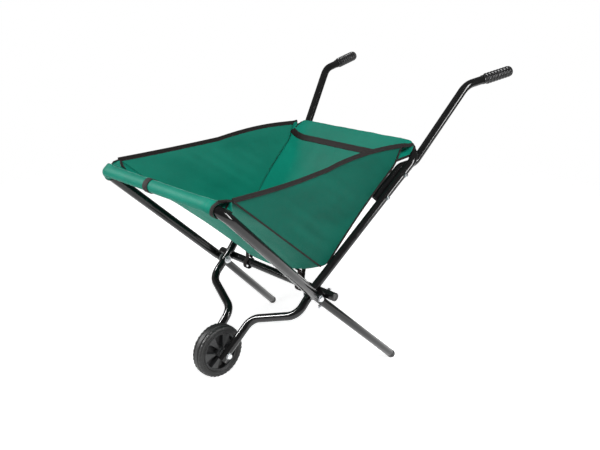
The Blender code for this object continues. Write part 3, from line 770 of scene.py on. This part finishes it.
def tyre():
    """Solid tyre: rounded shoulders, two grooves in the tread and rings on the wall."""
    half = [(WHEEL_R - inset, x) for inset, x in (
        (0, 0.0), (0, 0.0050), (0.0004, 0.0055), (0.0028, 0.0068), (0.0030, 0.0078),
        (0.0026, 0.0088), (0.0009, 0.0095), (0.0009, 0.0108))]
    for k in range(1, 9):
        turn = radians(90 * k / 8)
        half.append((WHEEL_R - 0.0062 + 0.0053 * cos(turn), 0.0112 + 0.0058 * sin(turn)))
    half += [(WHEEL_R - inset, x) for inset, x in (
        (0.0095, 0.0170), (0.0100, 0.0162), (0.0108, 0.0160), (0.0114, 0.0169),
        (0.0138, 0.0169), (0.0143, 0.0161), (0.0151, 0.0160), (0.0156, 0.0166))]
    half += [(RIM_R + 0.0030, 0.0157), (RIM_R + 0.0012, 0.0146), (RIM_R + 0.0003, 0.0138)]
    loop = [(r, -x) for r, x in reversed(half)] + half[1:]
    matrix = across(AXLE)
    rings = []
    for r, x in loop + loop[:1]:
        on_shoulder = 0.0092 < abs(x) < 0.0169 and r > WHEEL_R - 0.0064
        ring = []
        for k in range(TYRE_STEPS):
            turn = 2 * pi * k / TYRE_STEPS
            phase = (turn * TYRE_BLOCKS / (2 * pi) + (0.5 if x > 0 else 0.0)) % 1.0
            reach = r - (BLOCK_CUT if on_shoulder and phase < BLOCK_GAP else 0.0)
            ring.append(matrix @ vec(reach * cos(turn), reach * sin(turn), x))
        rings.append(ring)
    shape = Shape()
    shape.rows(rings, True)
    placed(shape.made("tyre_moulded", [RUBBER], 28), "wheel", "tyre_rubber", "tyre")


def hub():
    """Moulded hub: a deep dish with six flat wedge spokes on each face and a nave."""
    shape = Shape()
    matrix = across(AXLE)
    half = [(RIM_R, 0.0136), (RIM_R - 0.0006, 0.0143), (RIM_R - 0.0030, 0.0143),
            (RIM_R - 0.0038, 0.0134), (RIM_R - 0.0058, HUB_WEB + 0.0010),
            (RIM_R - 0.0068, HUB_WEB), (0.0148, HUB_WEB), (0.0140, HUB_WEB + 0.0008),
            (0.0132, 0.0172), (0.0122, 0.0185), (0.0052, 0.0185), (AXLE_R + 0.0001, 0.0178)]
    loop = half + [(r, -x) for r, x in reversed(half)]
    shape.turned(loop + loop[:1], matrix, 96)
    foot = HUB_WEB - 0.001
    for face in (1, -1):
        for k in range(SPOKES):
            middle = radians(360 / SPOKES * k + 4)
            rows = []
            for r, high in ((0.0120, 0.0160), (0.0200, 0.0152), (0.0330, 0.0134),
                            (RIM_R - 0.0040, 0.0118)):
                spread = radians(15.5) * (0.35 + 0.65 * r / RIM_R)
                ring = []
                for a, level in ((-1.0, foot), (-1.0, high - 0.0006), (-0.92, high),
                                 (0.0, high + 0.0002), (0.92, high), (1.0, high - 0.0006),
                                 (1.0, foot)):
                    turn = middle + spread * a
                    ring.append(matrix @ vec(r * cos(turn), r * sin(turn), level * face))
                rows.append(ring)
            shape.rows(rows, True, (True, True))
    placed(shape.made("wheel_hub_moulded", [HUB], 30), "wheel", "hub_plastic", "wheel_hub")


# ------------------------------------------------------------ the tub's lines
ROWS = 181
LAST_ROW = ROWS - 1
END_ROWS = 34
SEAM_HALF_FRONT = 0.2270
SEAM_HALF_LOW = 0.170
SEAM_HALF_REAR = 0.2045
EDGE = resample(rounded(
    [leg(0, 0.4200, 0.0350), rear(0, 0.073, 0.004), rear(0, 0.250, 0.0085),
     rear(0, 0.400, 0.0125), rear(0, 0.4495, 0.0364)], [0.030, 0.400, 0.060], 24), ROWS)
MIDDLE_LINE = rounded(
    [leg(0, 0.4222, 0.0179), vec(0, PIVOT.y + 0.0290, PIVOT.z + 0.0120),
     rear(0, 0.240, -0.004), rear(0, 0.4275, 0.0095)], [0.050, 0.400], 24)
MIDDLE = resample(MIDDLE_LINE, ROWS)
LOW_ROW = min(range(ROWS), key=lambda i: MIDDLE[i].z)
SLING_RUN = path_length(MIDDLE)
FAR_LIFT = 0.0080
NEAR_BOW = 0.0085
FAR_BOW = 0.0190


def ease(x):
    x = min(1.0, max(0.0, x))
    return x * x * (3 - 2 * x)


def wander(x, y, z):
    return noise.noise(vec(x, y, z))


def half_width(row):
    if row <= LOW_ROW:
        return SEAM_HALF_FRONT + (SEAM_HALF_LOW - SEAM_HALF_FRONT) * row / LOW_ROW
    share = (row - LOW_ROW) / (LAST_ROW - LOW_ROW)
    return SEAM_HALF_LOW + (SEAM_HALF_REAR - SEAM_HALF_LOW) * share


def sling_base(row, v):
    """Sling before its folds, at a whole or fractional row, v from -1 to 1.

    The edges bow in over the load, and the far one stands higher at its ends.
    """
    row = min(max(row, 0.0), float(LAST_ROW))
    i = min(int(row), ROWS - 2)
    edge = EDGE[i].lerp(EDGE[i + 1], row - i)
    middle = MIDDLE[i].lerp(MIDDLE[i + 1], row - i)
    to_front = ease(1 - row / END_ROWS)
    to_rear = ease(1 - (LAST_ROW - row) / END_ROWS)
    share = abs(v) ** (2.3 + 5.5 * max(to_front, to_rear))
    point = middle.lerp(edge, share)
    point.x = half_width(row) * v
    climb = max(0.0, (row - LOW_ROW) / (LAST_ROW - LOW_ROW))
    bow = FAR_BOW if v < 0 else NEAR_BOW
    point += REAR_NORMAL * (bow * share * sin(pi * min(1.0, climb * 1.04)))
    if v < 0:
        point.z += FAR_LIFT * share * max(to_front, 0.55 * to_rear)
    return point


def sling_folds(row, v):
    """Height of the cloth's folds off the smooth sling. It is nothing along the seams."""
    x = half_width(row) * v
    from_front = row / LAST_ROW * SLING_RUN
    from_rear = (LAST_ROW - row) / LAST_ROW * SLING_RUN
    ends = ease(from_front / 0.06) * ease(from_rear / 0.06)
    slow = 0.0034 * wander(x * 7, row * 0.020, 1.7)
    long_folds = 0.0013 * wander(x * 24, row * 0.010, 6.1)
    near_bars = exp(-from_front / 0.030) * 0.5 + exp(-from_rear / 0.040)
    near_bars *= ease(from_rear / 0.012) * ease(from_front / 0.012)
    gather = 0.0011 * wander(x * 60, row * 0.02, 2.2)
    return (1 - abs(v) ** 5) * ((slow + long_folds) * ends + gather * near_bars)


def sling(row, v, lift=0.0):
    """Point of the finished sling, lifted off it towards the load."""
    i = min(int(row), ROWS - 2)
    way = (MIDDLE[i + 1] - MIDDLE[i]).normalized()
    return sling_base(row, v) + vec(0, -way.z, way.y) * (sling_folds(row, v) + lift)


def surface_normal(row, v):
    """The way the sling's loaded face looks at a point."""
    along_v = sling_base(row, min(1, v + 0.004)) - sling_base(row, max(-1, v - 0.004))
    along_row = sling_base(row + 0.5, v) - sling_base(row - 0.5, v)
    normal = along_v.cross(along_row).normalized()
    return -normal if normal.z < 0 else normal


def sheet_area(rows):
    """Area of a sheet given as rows of points."""
    total = 0.0
    for one, two in zip(rows, rows[1:]):
        for a, b, c, d in zip(one, one[1:], two[1:], two):
            total += (b - a).cross(d - a).length / 2 + (b - c).cross(d - c).length / 2
    return total


def build_sling():
    """One cloth from the front sleeve's seam, under the load and up to the rear seam."""
    shape = Shape()
    shape.rows([[sling(k, 2 * j / 80 - 1) for j in range(81)] for k in range(ROWS)],
               centred=True)
    piece = blended(cloth(shape, "tub_sling"), "tub_cloth", "tub_front_panel", "tub_rear_panel")
    wide = (SEAM_HALF_FRONT + SEAM_HALF_LOW * 2 + SEAM_HALF_REAR) / 2
    return piece, (wide, SLING_RUN)


# ------------------------------------------------------------ gussets
GUSSET_UP = 84
GUSSET_ALONG = 96
SEAM_OUT = 0.0012
SEAM_ROWS = 1.2


def gusset_edges(sign, f):
    """The gusset's front seam and rear hem at f, from 0 at the bottom to 1 at the rim."""
    rise = LAST_ROW - LOW_ROW - SEAM_ROWS
    return (sling_base((LOW_ROW - SEAM_ROWS) * (1 - f), sign),
            sling_base(LOW_ROW + SEAM_ROWS + rise * f, sign))


def rim_bow(sign, g):
    """How far the rim stands above the straight line between its corners."""
    sag = -0.0065 if sign > 0 else -0.0010
    return (sag * sin(pi * min(1.0, g / 0.58))
            + 0.0080 * sin(pi * max(0.0, (g - 0.52) / 0.48)))


def gusset_point(sign, f, g):
    """Point of a side gusset, g from 0 at the front seam to 1 at the rear hem."""
    a, b = gusset_edges(sign, f)
    free = 4 * g * (1 - g)
    point = a.lerp(b, g) + vec(-sign * 0.0045 * free * f, 0, rim_bow(sign, g) * f ** 2.5)
    slow = wander(point.y * 6.5, point.z * 9, 3.1 * sign)
    slant = point.y * 9 + point.z * 13
    bands = sin(slant * 2.3 + 1.5 * slow + sign)
    crease = wander(slant * 3.2, (point.y - point.z) * 2.5, 8.3 * sign)
    out = 0.0060 * slow + 0.0016 * bands + 0.0014 * crease
    out *= ease(free) * ease(f * 2.2) * ease((1 - f) * 7 + 0.1)
    return point + vec((out + SEAM_OUT) * sign, 0, 0)


def build_gusset(side, sign):
    rows = [[gusset_point(sign, i / GUSSET_UP, j / GUSSET_ALONG)
             for j in range(GUSSET_ALONG + 1)] for i in range(GUSSET_UP + 1)]
    shape = Shape()
    shape.rows(rows, centred=True)
    piece = blended(cloth(shape, "tub_gusset_" + side), "tub_cloth", "tub_gusset_" + side)
    tall = rows[-1][GUSSET_ALONG // 2].z - rows[0][GUSSET_ALONG // 2].z
    return piece, (path_length(rows[-1]), tall), sheet_area(rows)


# ------------------------------------------------------------ tapes and stitches
RIM_WIDE = 0.0112
BIND_WIDE = 0.0042
TAPE_SECTION = (
    (-0.5, 0.25), (-0.47, 0.5), (0.0, 0.58), (0.47, 0.5), (0.5, 0.25),
    (0.5, -0.25), (0.47, -0.5), (0.0, -0.5), (-0.47, -0.5), (-0.5, -0.25),
)
STITCH_SECTIONS = ((-0.5, -0.4, 0.5), (-0.36, 0.7, 1.0), (0.36, 0.7, 1.0), (0.5, -0.4, 0.5))
SEAM_STITCH = (0.0034, 0.0022, 0.00024)


def tape(shape, path, outs, width, thick=0.0012):
    """Flat tape along a path. outs is the way its face looks, or one for each point.

    width is one value, or a pair for the two ends.
    """
    first, last = width if isinstance(width, tuple) else (width, width)
    rings = []
    for i, (point, ahead) in enumerate(zip(path, ways(path))):
        out, side = squared(outs[i] if isinstance(outs, list) else outs, ahead)
        wide = first + (last - first) * i / (len(path) - 1)
        rings.append(drawn(point, side, out, [(a * wide, b * thick) for a, b in TAPE_SECTION]))
    shape.rows(rings, True, (True, True))


def stitches(shape, path, outs, pitch=0.0034, length=0.0023, radius=0.00030):
    """A row of sewn stitches: short round threads that dip into the cloth at each end."""
    count = max(2, int(path_length(path) / pitch))
    fine = resample(path, count * 2 + 1)
    for k in range(count):
        ahead = (fine[2 * k + 2] - fine[2 * k]).normalized()
        if isinstance(outs, list):
            way = outs[int(round((2 * k + 1) / (count * 2) * (len(outs) - 1)))]
        else:
            way = outs
        out, side = squared(way, ahead)
        rings = []
        for f, rise, scale in STITCH_SECTIONS:
            at = fine[2 * k + 1] + ahead * (length * f) + out * (radius * rise)
            rings.append(drawn(at, side, out, circle(radius * scale, 5)))
        shape.rows(rings, True, (True, True), 1)


def build_rim(side, sign):
    """Folded binding over the gusset's top edge, sewn through near its lower edge."""
    top = [gusset_point(sign, 1.0, j / GUSSET_ALONG) for j in range(GUSSET_ALONG + 1)]
    corner, low = ear_corners(sign)
    path = moved(top, vec(0, 0, 0.0010))
    shape = Shape()
    tape(shape, path, vec(sign, 0, 0), RIM_WIDE, 0.0030)
    for way in (sign, -sign):
        stitches(shape, moved(top, vec(way * 0.0015, 0, -0.0030)), vec(way, 0, 0))
    onward = rounded([path[-1], corner + vec(0, 0.002, -0.0020), low + vec(0, 0.006, 0.002)],
                     [0.010], 10)
    tape(shape, resample(onward, 24), vec(sign, -0.7, 0.2), (RIM_WIDE, 0.0060), 0.0026)
    return blended(taped(shape, "rim_webbing_" + side, DARK_THREAD), "webbing",
                   "rim_webbing_" + side)


def build_front_piping(side, sign):
    """Bound seam of front panel and gusset, and the strap inside its top corner."""
    out = vec(sign, 0, 0)
    line = [gusset_edges(sign, 0.015 + 0.985 * k / 90)[0] + out * 0.0022 for k in range(91)]
    shape = Shape()
    tape(shape, line, out, BIND_WIDE, 0.0026)
    stitches(shape, moved(line, out * 0.0014), out, *SEAM_STITCH)
    spots = [sign * (1 - 0.12 * k / 12) for k in range(13)]
    normals = [surface_normal(SEAM_ROWS, v) for v in spots]
    inner = [sling_base(SEAM_ROWS, v) + n * 0.0024 for v, n in zip(spots, normals)]
    tape(shape, inner, normals, (0.0060, 0.0165))
    return blended(taped(shape, "front_seam_piping_" + side, DARK_THREAD), "webbing",
                   "front_seam_piping_" + side)


def build_rear_binding(side, sign):
    """Tape over the seam between the gusset and the rear panel."""
    out = vec(sign, 0, 0)
    offset = out * 0.0022 + vec(0, -0.0008, 0.0008)
    line = [gusset_edges(sign, 0.02 + 0.98 * k / 90)[1] + offset for k in range(91)]
    shape = Shape()
    tape(shape, line, out, 0.0058, 0.0022)
    stitches(shape, moved(line, out * 0.0012), out, *SEAM_STITCH)
    return placed(taped(shape, "rear_edge_webbing_" + side, DARK_THREAD), "rear_frame",
                  "webbing", "rear_edge_webbing_" + side)


def build_inner_strap():
    """Tape sewn across the rear panel, over the sleeve's seam, up into both corners."""
    path = []
    outs = []
    for k in range(121):
        v = sin(pi / 2 * (k / 60 - 1)) * 0.995
        row = LAST_ROW - 4.4 * max(0.0, (abs(v) - 0.55) / 0.45) ** 2
        outs.append(surface_normal(row, v))
        path.append(sling(row, v) + outs[-1] * 0.0016)
    shape = Shape()
    tape(shape, path, outs, 0.0180, 0.0014)
    for step in (-0.0070, 0.0070):
        line = [p + ahead.cross(out) * step + out * 0.0008
                for p, ahead, out in zip(path, ways(path), outs)]
        stitches(shape, line, outs)
    return placed(taped(shape, "tub_inner_strap", DARK_THREAD), "rear_frame", "webbing",
                  "tub_inner_strap")


# ------------------------------------------------------------ sleeves over the bars
REAR_BAR_PATH = rounded(
    [rear(REAR_HALF, REAR_SPLAY_S), rear(REAR_BAR_HALF, REAR_BAR_S),
     rear(-REAR_BAR_HALF, REAR_BAR_S), rear(-REAR_HALF, REAR_SPLAY_S)],
    [REAR_BAR_BEND] * 2, 24)
# reach of each sleeve from the bar's middle, on the +X side and on the other
FRONT_REACH = (0.2290, 0.2430)
REAR_REACH = (0.2110, 0.2110)
BAR_STEPS = 1600
STATIONS = 180
SECTION = 72
# the front sleeve's squared end: where the bar starts to bend, how far the cloth runs on,
# and how fast the bar falls away
BEND_X = 0.196
SQUARE_X = 0.2225
BEND_RUN = 0.0425
FRONT_CREST = vec(0, 0.05, 1.0)
REAR_CREST = vec(0, 0.12, 0.99)
KEEPER_X = -0.0155


def bar_stations(path, normal, reach):
    """Frames along a bar, from reach[0] on the +X side of its middle to reach[1]."""
    fine = resample(path, BAR_STEPS + 1)
    step = path_length(path) / BAR_STEPS
    middle = min(range(BAR_STEPS + 1), key=lambda i: abs(fine[i].x))
    first = middle - int(reach[0] / step)
    last = middle + int(reach[1] / step)
    frames = carried(fine, normal)
    spots = [first + (last - first) * k / STATIONS for k in range(STATIONS + 1)]
    return [(frames[int(s)], (s - middle) * step) for s in spots]


FRONT_STATIONS = bar_stations(FRONT_PATH, LEG_NORMAL, FRONT_REACH)


def square_end(stations):
    """The +X end of the front sleeve runs on straight while the bar bends away in it."""
    bent = max(i for i, ((p, *_), _) in enumerate(stations) if p.x > BEND_X) + 1
    _, *axes = stations[bent][0]
    line = [p for (p, *_), _ in stations[:bent + 1]]
    out = []
    for i, (_, run) in enumerate(stations[:bent]):
        x = SQUARE_X + (BEND_X - SQUARE_X) * i / bent
        near = min(line, key=lambda q: abs(q.x - x))
        slope = max(0.0, min(0.88, (x - BEND_X) / BEND_RUN))
        out.append(((vec(x, near.y, near.z), *axes), run, 1 / sqrt(1 - slope ** 2)))
    return out + [(at, run, 1.0) for at, run in stations[bent:]]


def seam_point(row, point, ahead):
    """Where a row of the sling meets the plane through a point, square to the bar."""
    low, high = -1.0, 1.0
    for _ in range(26):
        v = (low + high) / 2
        if (sling_base(row, v) - point).dot(ahead) > 0:
            low = v
        else:
            high = v
    return sling_base(row, (low + high) / 2)


def turn_of(a, b, c):
    return (b[0] - a[0]) * (c[1] - a[1]) - (b[1] - a[1]) * (c[0] - a[0])


def hull(points):
    """Convex outline round points in a plane, anticlockwise."""
    out = []
    for way in (sorted(points), sorted(points, reverse=True)):
        half = []
        for p in way:
            while len(half) > 1 and turn_of(half[-2], half[-1], p) <= 0:
                half.pop()
            half.append(p)
        out += half[:-1]
    return out


def sleeve_section(at, row, radius, crest, height, stretch=1.0):
    """Cloth round a bar, drawn to its seam on a row, with a slack crest above the bar."""
    point, side, up, ahead = at
    drop = seam_point(row, point, ahead) - point
    end = (drop.dot(side), drop.dot(up))
    top = (crest.dot(side) * height, crest.dot(up) * height)
    points = [(a, b * stretch) for a, b in circle(radius, 40)] + [end]
    points += [(top[0] + a, top[1] + b) for a, b in circle(0.0022, 12)]
    outline = hull(points)
    begin = min(range(len(outline)), key=lambda i: dist(outline[i], end))
    ordered = outline[begin:] + outline[:begin + 1]
    loop = resample([vec(a, b, 0) for a, b in ordered], SECTION + 1)[:-1]
    return drawn(point, side, up, [(q.x, q.y) for q in loop])


def ring_tape(shape, points, width, thick):
    """Tape closed round a section."""
    centre = sum(points, Vector()) / len(points)
    loop = points + [points[0]]
    outs = [(p - centre).normalized() for p in loop]
    grown = [p + o * thick for p, o in zip(loop, outs)]
    tape(shape, grown, outs, width, thick * 1.6)


def build_rear_sleeve():
    """Hem of the sling, turned over the rear bar and sewn down under the inner strap."""
    rows = []
    for at, run in bar_stations(REAR_BAR_PATH, REAR_NORMAL, REAR_REACH):
        flutter = 0.0010 * wander(run * 22, 3.3, 0) + 0.0006 * wander(run * 70, 1.3, 0)
        height = 0.0130 + (0.0052 + flutter) * ease((REAR_REACH[0] - abs(run)) / 0.012)
        rows.append(sleeve_section(at, LAST_ROW, 0.0128, REAR_CREST, height))
    shape = Shape()
    shape.rows(rows, True)
    piece = placed(cloth(shape, "rear_sleeve", 60), "rear_frame", "tub_cloth", "rear_sleeve")
    trim = Shape()
    for row in (rows[2], rows[-3]):
        ring_tape(trim, row, 0.0050, 0.0008)
    return piece, placed(taped(trim, "rear_sleeve_binding"), "rear_frame", "webbing")


def build_front_sleeve():
    """Hem of the sling, turned round the front bar and part of its corners."""
    rows = []
    for at, run, stretch in square_end(FRONT_STATIONS):
        flare = ease((abs(run) - 0.165) / 0.065) * (0.4 if run < 0 else 1.0)
        height = 0.0128 + 0.0008 * wander(run * 24, 1.2, 0) + 0.0075 * flare
        rows.append(sleeve_section(at, 0, 0.0141, FRONT_CREST, height, stretch))
    shape = Shape()
    shape.rows(rows, True)
    piece = placed(cloth(shape, "front_sleeve", 60), "leg_frame", "tub_cloth", "front_sleeve")
    trim = Shape()
    ring_tape(trim, rows[2], 0.0125, 0.0008)
    ring_tape(trim, rows[-2], 0.0036, 0.0008)
    # Pale stitch rows on the sleeve's top-back and bottom-front edges: sewn thread, and also a
    # painted highlight along those folded edges.
    for way in (vec(0, 0.35, 0.94), vec(0, -0.70, -0.71)):
        line = [max(row, key=lambda p: p.dot(way)) + way * 0.0007 for row in rows[6:-6]]
        stitches(trim, line, way, 0.0036, 0.0026, 0.00042)
    return piece, placed(taped(trim, "front_sleeve_binding_and_highlight_stitches", STITCH_AND_HIGHLIGHT_THREAD), "leg_frame",
                         "webbing")


def build_keeper():
    """Short tape looped round the front sleeve."""
    at, _ = min(FRONT_STATIONS, key=lambda f: abs(f[0][0].x - KEEPER_X))
    shape = Shape()
    ring_tape(shape, sleeve_section(at, 0, 0.0150, FRONT_CREST, 0.0140), 0.0190, 0.0010)
    return placed(taped(shape, "front_keeper_strap"), "leg_frame", "webbing",
                  "front_keeper_strap")


# ------------------------------------------------------------ cloth corners
EAR_POINTS = 21
EAR_ROWS = 16
STRAP_X = 0.105


def ruled(top, bottom, sag):
    """Cloth between two lines of as many points, hollowed a little by sag."""
    rows = []
    for k in range(EAR_ROWS + 1):
        f = k / EAR_ROWS
        row = []
        for i, (a, b) in enumerate(zip(top, bottom)):
            g = i / (len(top) - 1)
            row.append(a.lerp(b, f) + sag * (sin(pi * f) * sin(pi * min(1.0, g * 1.1))))
        rows.append(row)
    shape = Shape()
    shape.rows(rows)
    return shape


def ear_corners(sign):
    """Upper and lower points where the rear panel's ear meets the rear frame's corner."""
    lift = FAR_LIFT * 0.4 if sign < 0 else 0.0
    return (rear(sign * 0.2260, 0.4760, 0.0145) + vec(0, 0, lift),
            rear(sign * 0.2235, 0.4460, 0.0060))


def build_rear_ear(side, sign):
    """Triangle of cloth from the gusset's rear corner to the frame's, bound below."""
    corner, low = ear_corners(sign)
    top = gusset_edges(sign, 1.0)[1]
    foot = gusset_edges(sign, 0.885)[1]
    inside = top.lerp(corner, 0.86)
    upper = resample([top, top.lerp(inside, 0.5) + vec(0, 0, -0.001), inside], EAR_POINTS)
    lower = resample([foot, low], EAR_POINTS)
    name = "tub_ear_rear_" + side
    shape = ruled(upper, lower, vec(-sign * 0.016, 0.006, 0))
    piece = placed(cloth(shape, name), "rear_frame", "tub_cloth")
    trim = Shape()
    tape(trim, lower, vec(sign, -1, 0.2), 0.0062, 0.0024)
    return piece, placed(taped(trim, name), "rear_frame", "webbing")


def build_front_ear(side, sign):
    """Triangle of cloth from the sleeve's end to the gusset's front corner."""
    p, across_bar, up, _ = FRONT_STATIONS[3 if sign > 0 else -4][0]
    corner = gusset_edges(sign, 1.0)[0]
    high = p + vec(0, 0.004, 0.0200)
    low = p + up * 0.0100 + across_bar * 0.0120
    low_end = leg(sign * 0.2330, 0.4080, 0.0150)
    upper = resample([high, high.lerp(corner, 0.5) + vec(sign * 0.004, 0, 0.002), corner],
                     EAR_POINTS)
    lower = resample([low, low.lerp(low_end, 0.5) + vec(sign * 0.002, 0, 0), low_end],
                     EAR_POINTS)
    name = "tub_ear_front_" + side
    shape = ruled(upper, lower, vec(-0.020 if sign > 0 else -0.001, 0.006, 0.001))
    piece = blended(cloth(shape, name), "tub_cloth")
    trim = Shape()
    tape(trim, upper, vec(sign, 0, 0.6), (0.0040, 0.0052), 0.0024)
    tape(trim, lower, vec(sign, 0, 0.8), (0.0036, 0.0048), 0.0022)
    return piece, blended(taped(trim, name), "webbing")


def build_tub_strap(side, sign):
    """Tape sewn under the tub and looped slackly round the cross tube."""
    x = STRAP_X * sign
    under = sling(LOW_ROW, x / half_width(LOW_ROW), -0.0012)
    centre = CROSS_AXIS + vec(x, 0, 0)
    path = [vec(x, under.y - 0.018, under.z + 0.0005), vec(x, under.y - 0.008, under.z)]
    for k in range(33):
        turn = radians(118 + 304 * k / 32)
        slack = 0.0058 * exp(-((k - 12) / 6) ** 2) + 0.0016 * exp(-((k - 26) / 4) ** 2)
        reach = TUBE_R + 0.0020 + slack
        path.append(centre + vec(0, reach * cos(turn), reach * sin(turn)))
    path += [vec(x, under.y + 0.008, under.z), vec(x, under.y + 0.018, under.z + 0.0010)]
    path = resample(path, 60)
    outs = [ahead.cross(vec(1, 0, 0)) for ahead in ways(path)]
    shape = Shape()
    tape(shape, path, outs, 0.0140, 0.0013)
    return blended(taped(shape, "tub_strap_" + side), "webbing", "tub_strap_" + side,
                   start=under, end=centre + vec(0, 0, TUBE_R))


# ------------------------------------------------------------ camera, floor and light
CAMERA_AT = vec(1.3792, -1.33915, 0.9704)
CAMERA_TURN = [radians(a) for a in (46.34, 18.08, 0.54)]
CAMERA_LENS = 43.94
AMBIENT = 0.17
# radii between which the floor fades out
FLOOR_FADE = (1.1, 2.4)


def build_camera():
    azimuth, elevation, roll = CAMERA_TURN
    back = vec(sin(azimuth) * cos(elevation), -cos(azimuth) * cos(elevation), sin(elevation))
    right = vec(cos(azimuth), sin(azimuth), 0)
    up = back.cross(right)
    rolled = right * cos(roll) + up * sin(roll)
    above = up * cos(roll) - right * sin(roll)
    data = bpy.data.cameras.new("camera")
    data.sensor_width = 36.0
    data.lens = CAMERA_LENS
    camera = linked("camera", data)
    turn = Matrix((rolled, above, back)).transposed().to_4x4()
    camera.matrix_world = Matrix.Translation(CAMERA_AT) @ turn
    bpy.context.scene.camera = camera


def area_light(name, centre, target, size, power, gloss=True):
    """A lamp for the streaks on glossy parts, or one for everything but those."""
    data = bpy.data.lights.new(name, "AREA")
    data.shape = "RECTANGLE"
    data.size, data.size_y = size
    data.energy = power
    lamp = linked(name, data)
    lamp.visible_glossy = gloss
    lamp.visible_diffuse = not gloss
    way = Vector(target) - Vector(centre)
    turn = way.to_track_quat("-Z", "Y").to_matrix().to_4x4()
    lamp.matrix_world = Matrix.Translation(centre) @ turn


def build_world():
    """White behind the object, dim grey for its lighting and reflections."""
    world = bpy.data.worlds.new("studio")
    world.use_nodes = True
    tree = world.node_tree
    base = tree.nodes["Background"]
    base.inputs["Color"].default_value = (1.0, 1.0, 1.0, 1.0)
    path = tree.nodes.new("ShaderNodeLightPath")
    strength = tree.nodes.new("ShaderNodeMapRange")
    strength.inputs["To Min"].default_value = AMBIENT
    strength.inputs["To Max"].default_value = 1.0
    tree.links.new(path.outputs["Is Camera Ray"], strength.inputs["Value"])
    tree.links.new(strength.outputs["Result"], base.inputs["Strength"])
    bpy.context.scene.world = world


def build_floor():
    """Pale disc of floor that fades out into the white behind it."""
    mesh = bpy.data.meshes.new("floor")
    bm = bmesh.new()
    bmesh.ops.create_circle(bm, cap_ends=True, radius=FLOOR_FADE[1], segments=96)
    bm.to_mesh(mesh)
    bm.free()
    paint = Paint("pale_floor", (0.92, 0.92, 0.92), 0.85, 0.0, 0.15)
    paint["Emission Color"] = (1.0, 1.0, 1.0, 1.0)
    paint["Emission Strength"] = 0.80
    far = paint.node("VectorMath", (0, paint.node("TexCoord").outputs["Object"]))
    far.operation = "LENGTH"
    paint["Alpha"] = paint.spread(far.outputs["Value"], *FLOOR_FADE, 1.0, 0.0, soft=True)
    mesh.materials.append(paint.mat)
    floor = linked("floor", mesh)
    floor.visible_diffuse = False


def build_stage():
    bpy.context.scene.view_settings.view_transform = "Standard"
    build_world()
    build_floor()
    area_light("key", (1.5, -0.9, 2.7), (0, -0.1, 0.4), (1.3, 1.3), 84, False)
    area_light("low_front", (-0.2, -2.3, 0.35), (0, -0.2, 0.35), (1.2, 0.4), 30, False)
    area_light("strip", (2.85, 0.65, 1.35), (0.2, 0.1, 0.5), (0.66, 2.2), 105)
    area_light("streak", (-1.40, -1.80, 1.85), (0, -0.3, 0.1), (0.30, 1.3), 130)


# ------------------------------------------------------------ assembly
build_camera()
build_stage()
rear_frame_tube()
coated_tube("front_frame", "leg_frame", FRONT_PATH, UPPER_R)
cross_tube()
for side, sign in SIDES:
    lower_leg(side, sign)
    handle(side, sign)
fasteners()
tyre()
hub()

sling_piece, sling_flat = build_sling()
sling_trim = [build_inner_strap(), build_keeper(), *build_front_sleeve(), *build_rear_sleeve()]
for side, sign in SIDES:
    gusset, flat, area = build_gusset(side, sign)
    trim = [build_rim(side, sign), build_front_piping(side, sign),
            build_rear_binding(side, sign)]
    sling_trim += [*build_rear_ear(side, sign), *build_front_ear(side, sign),
                   build_tub_strap(side, sign)]
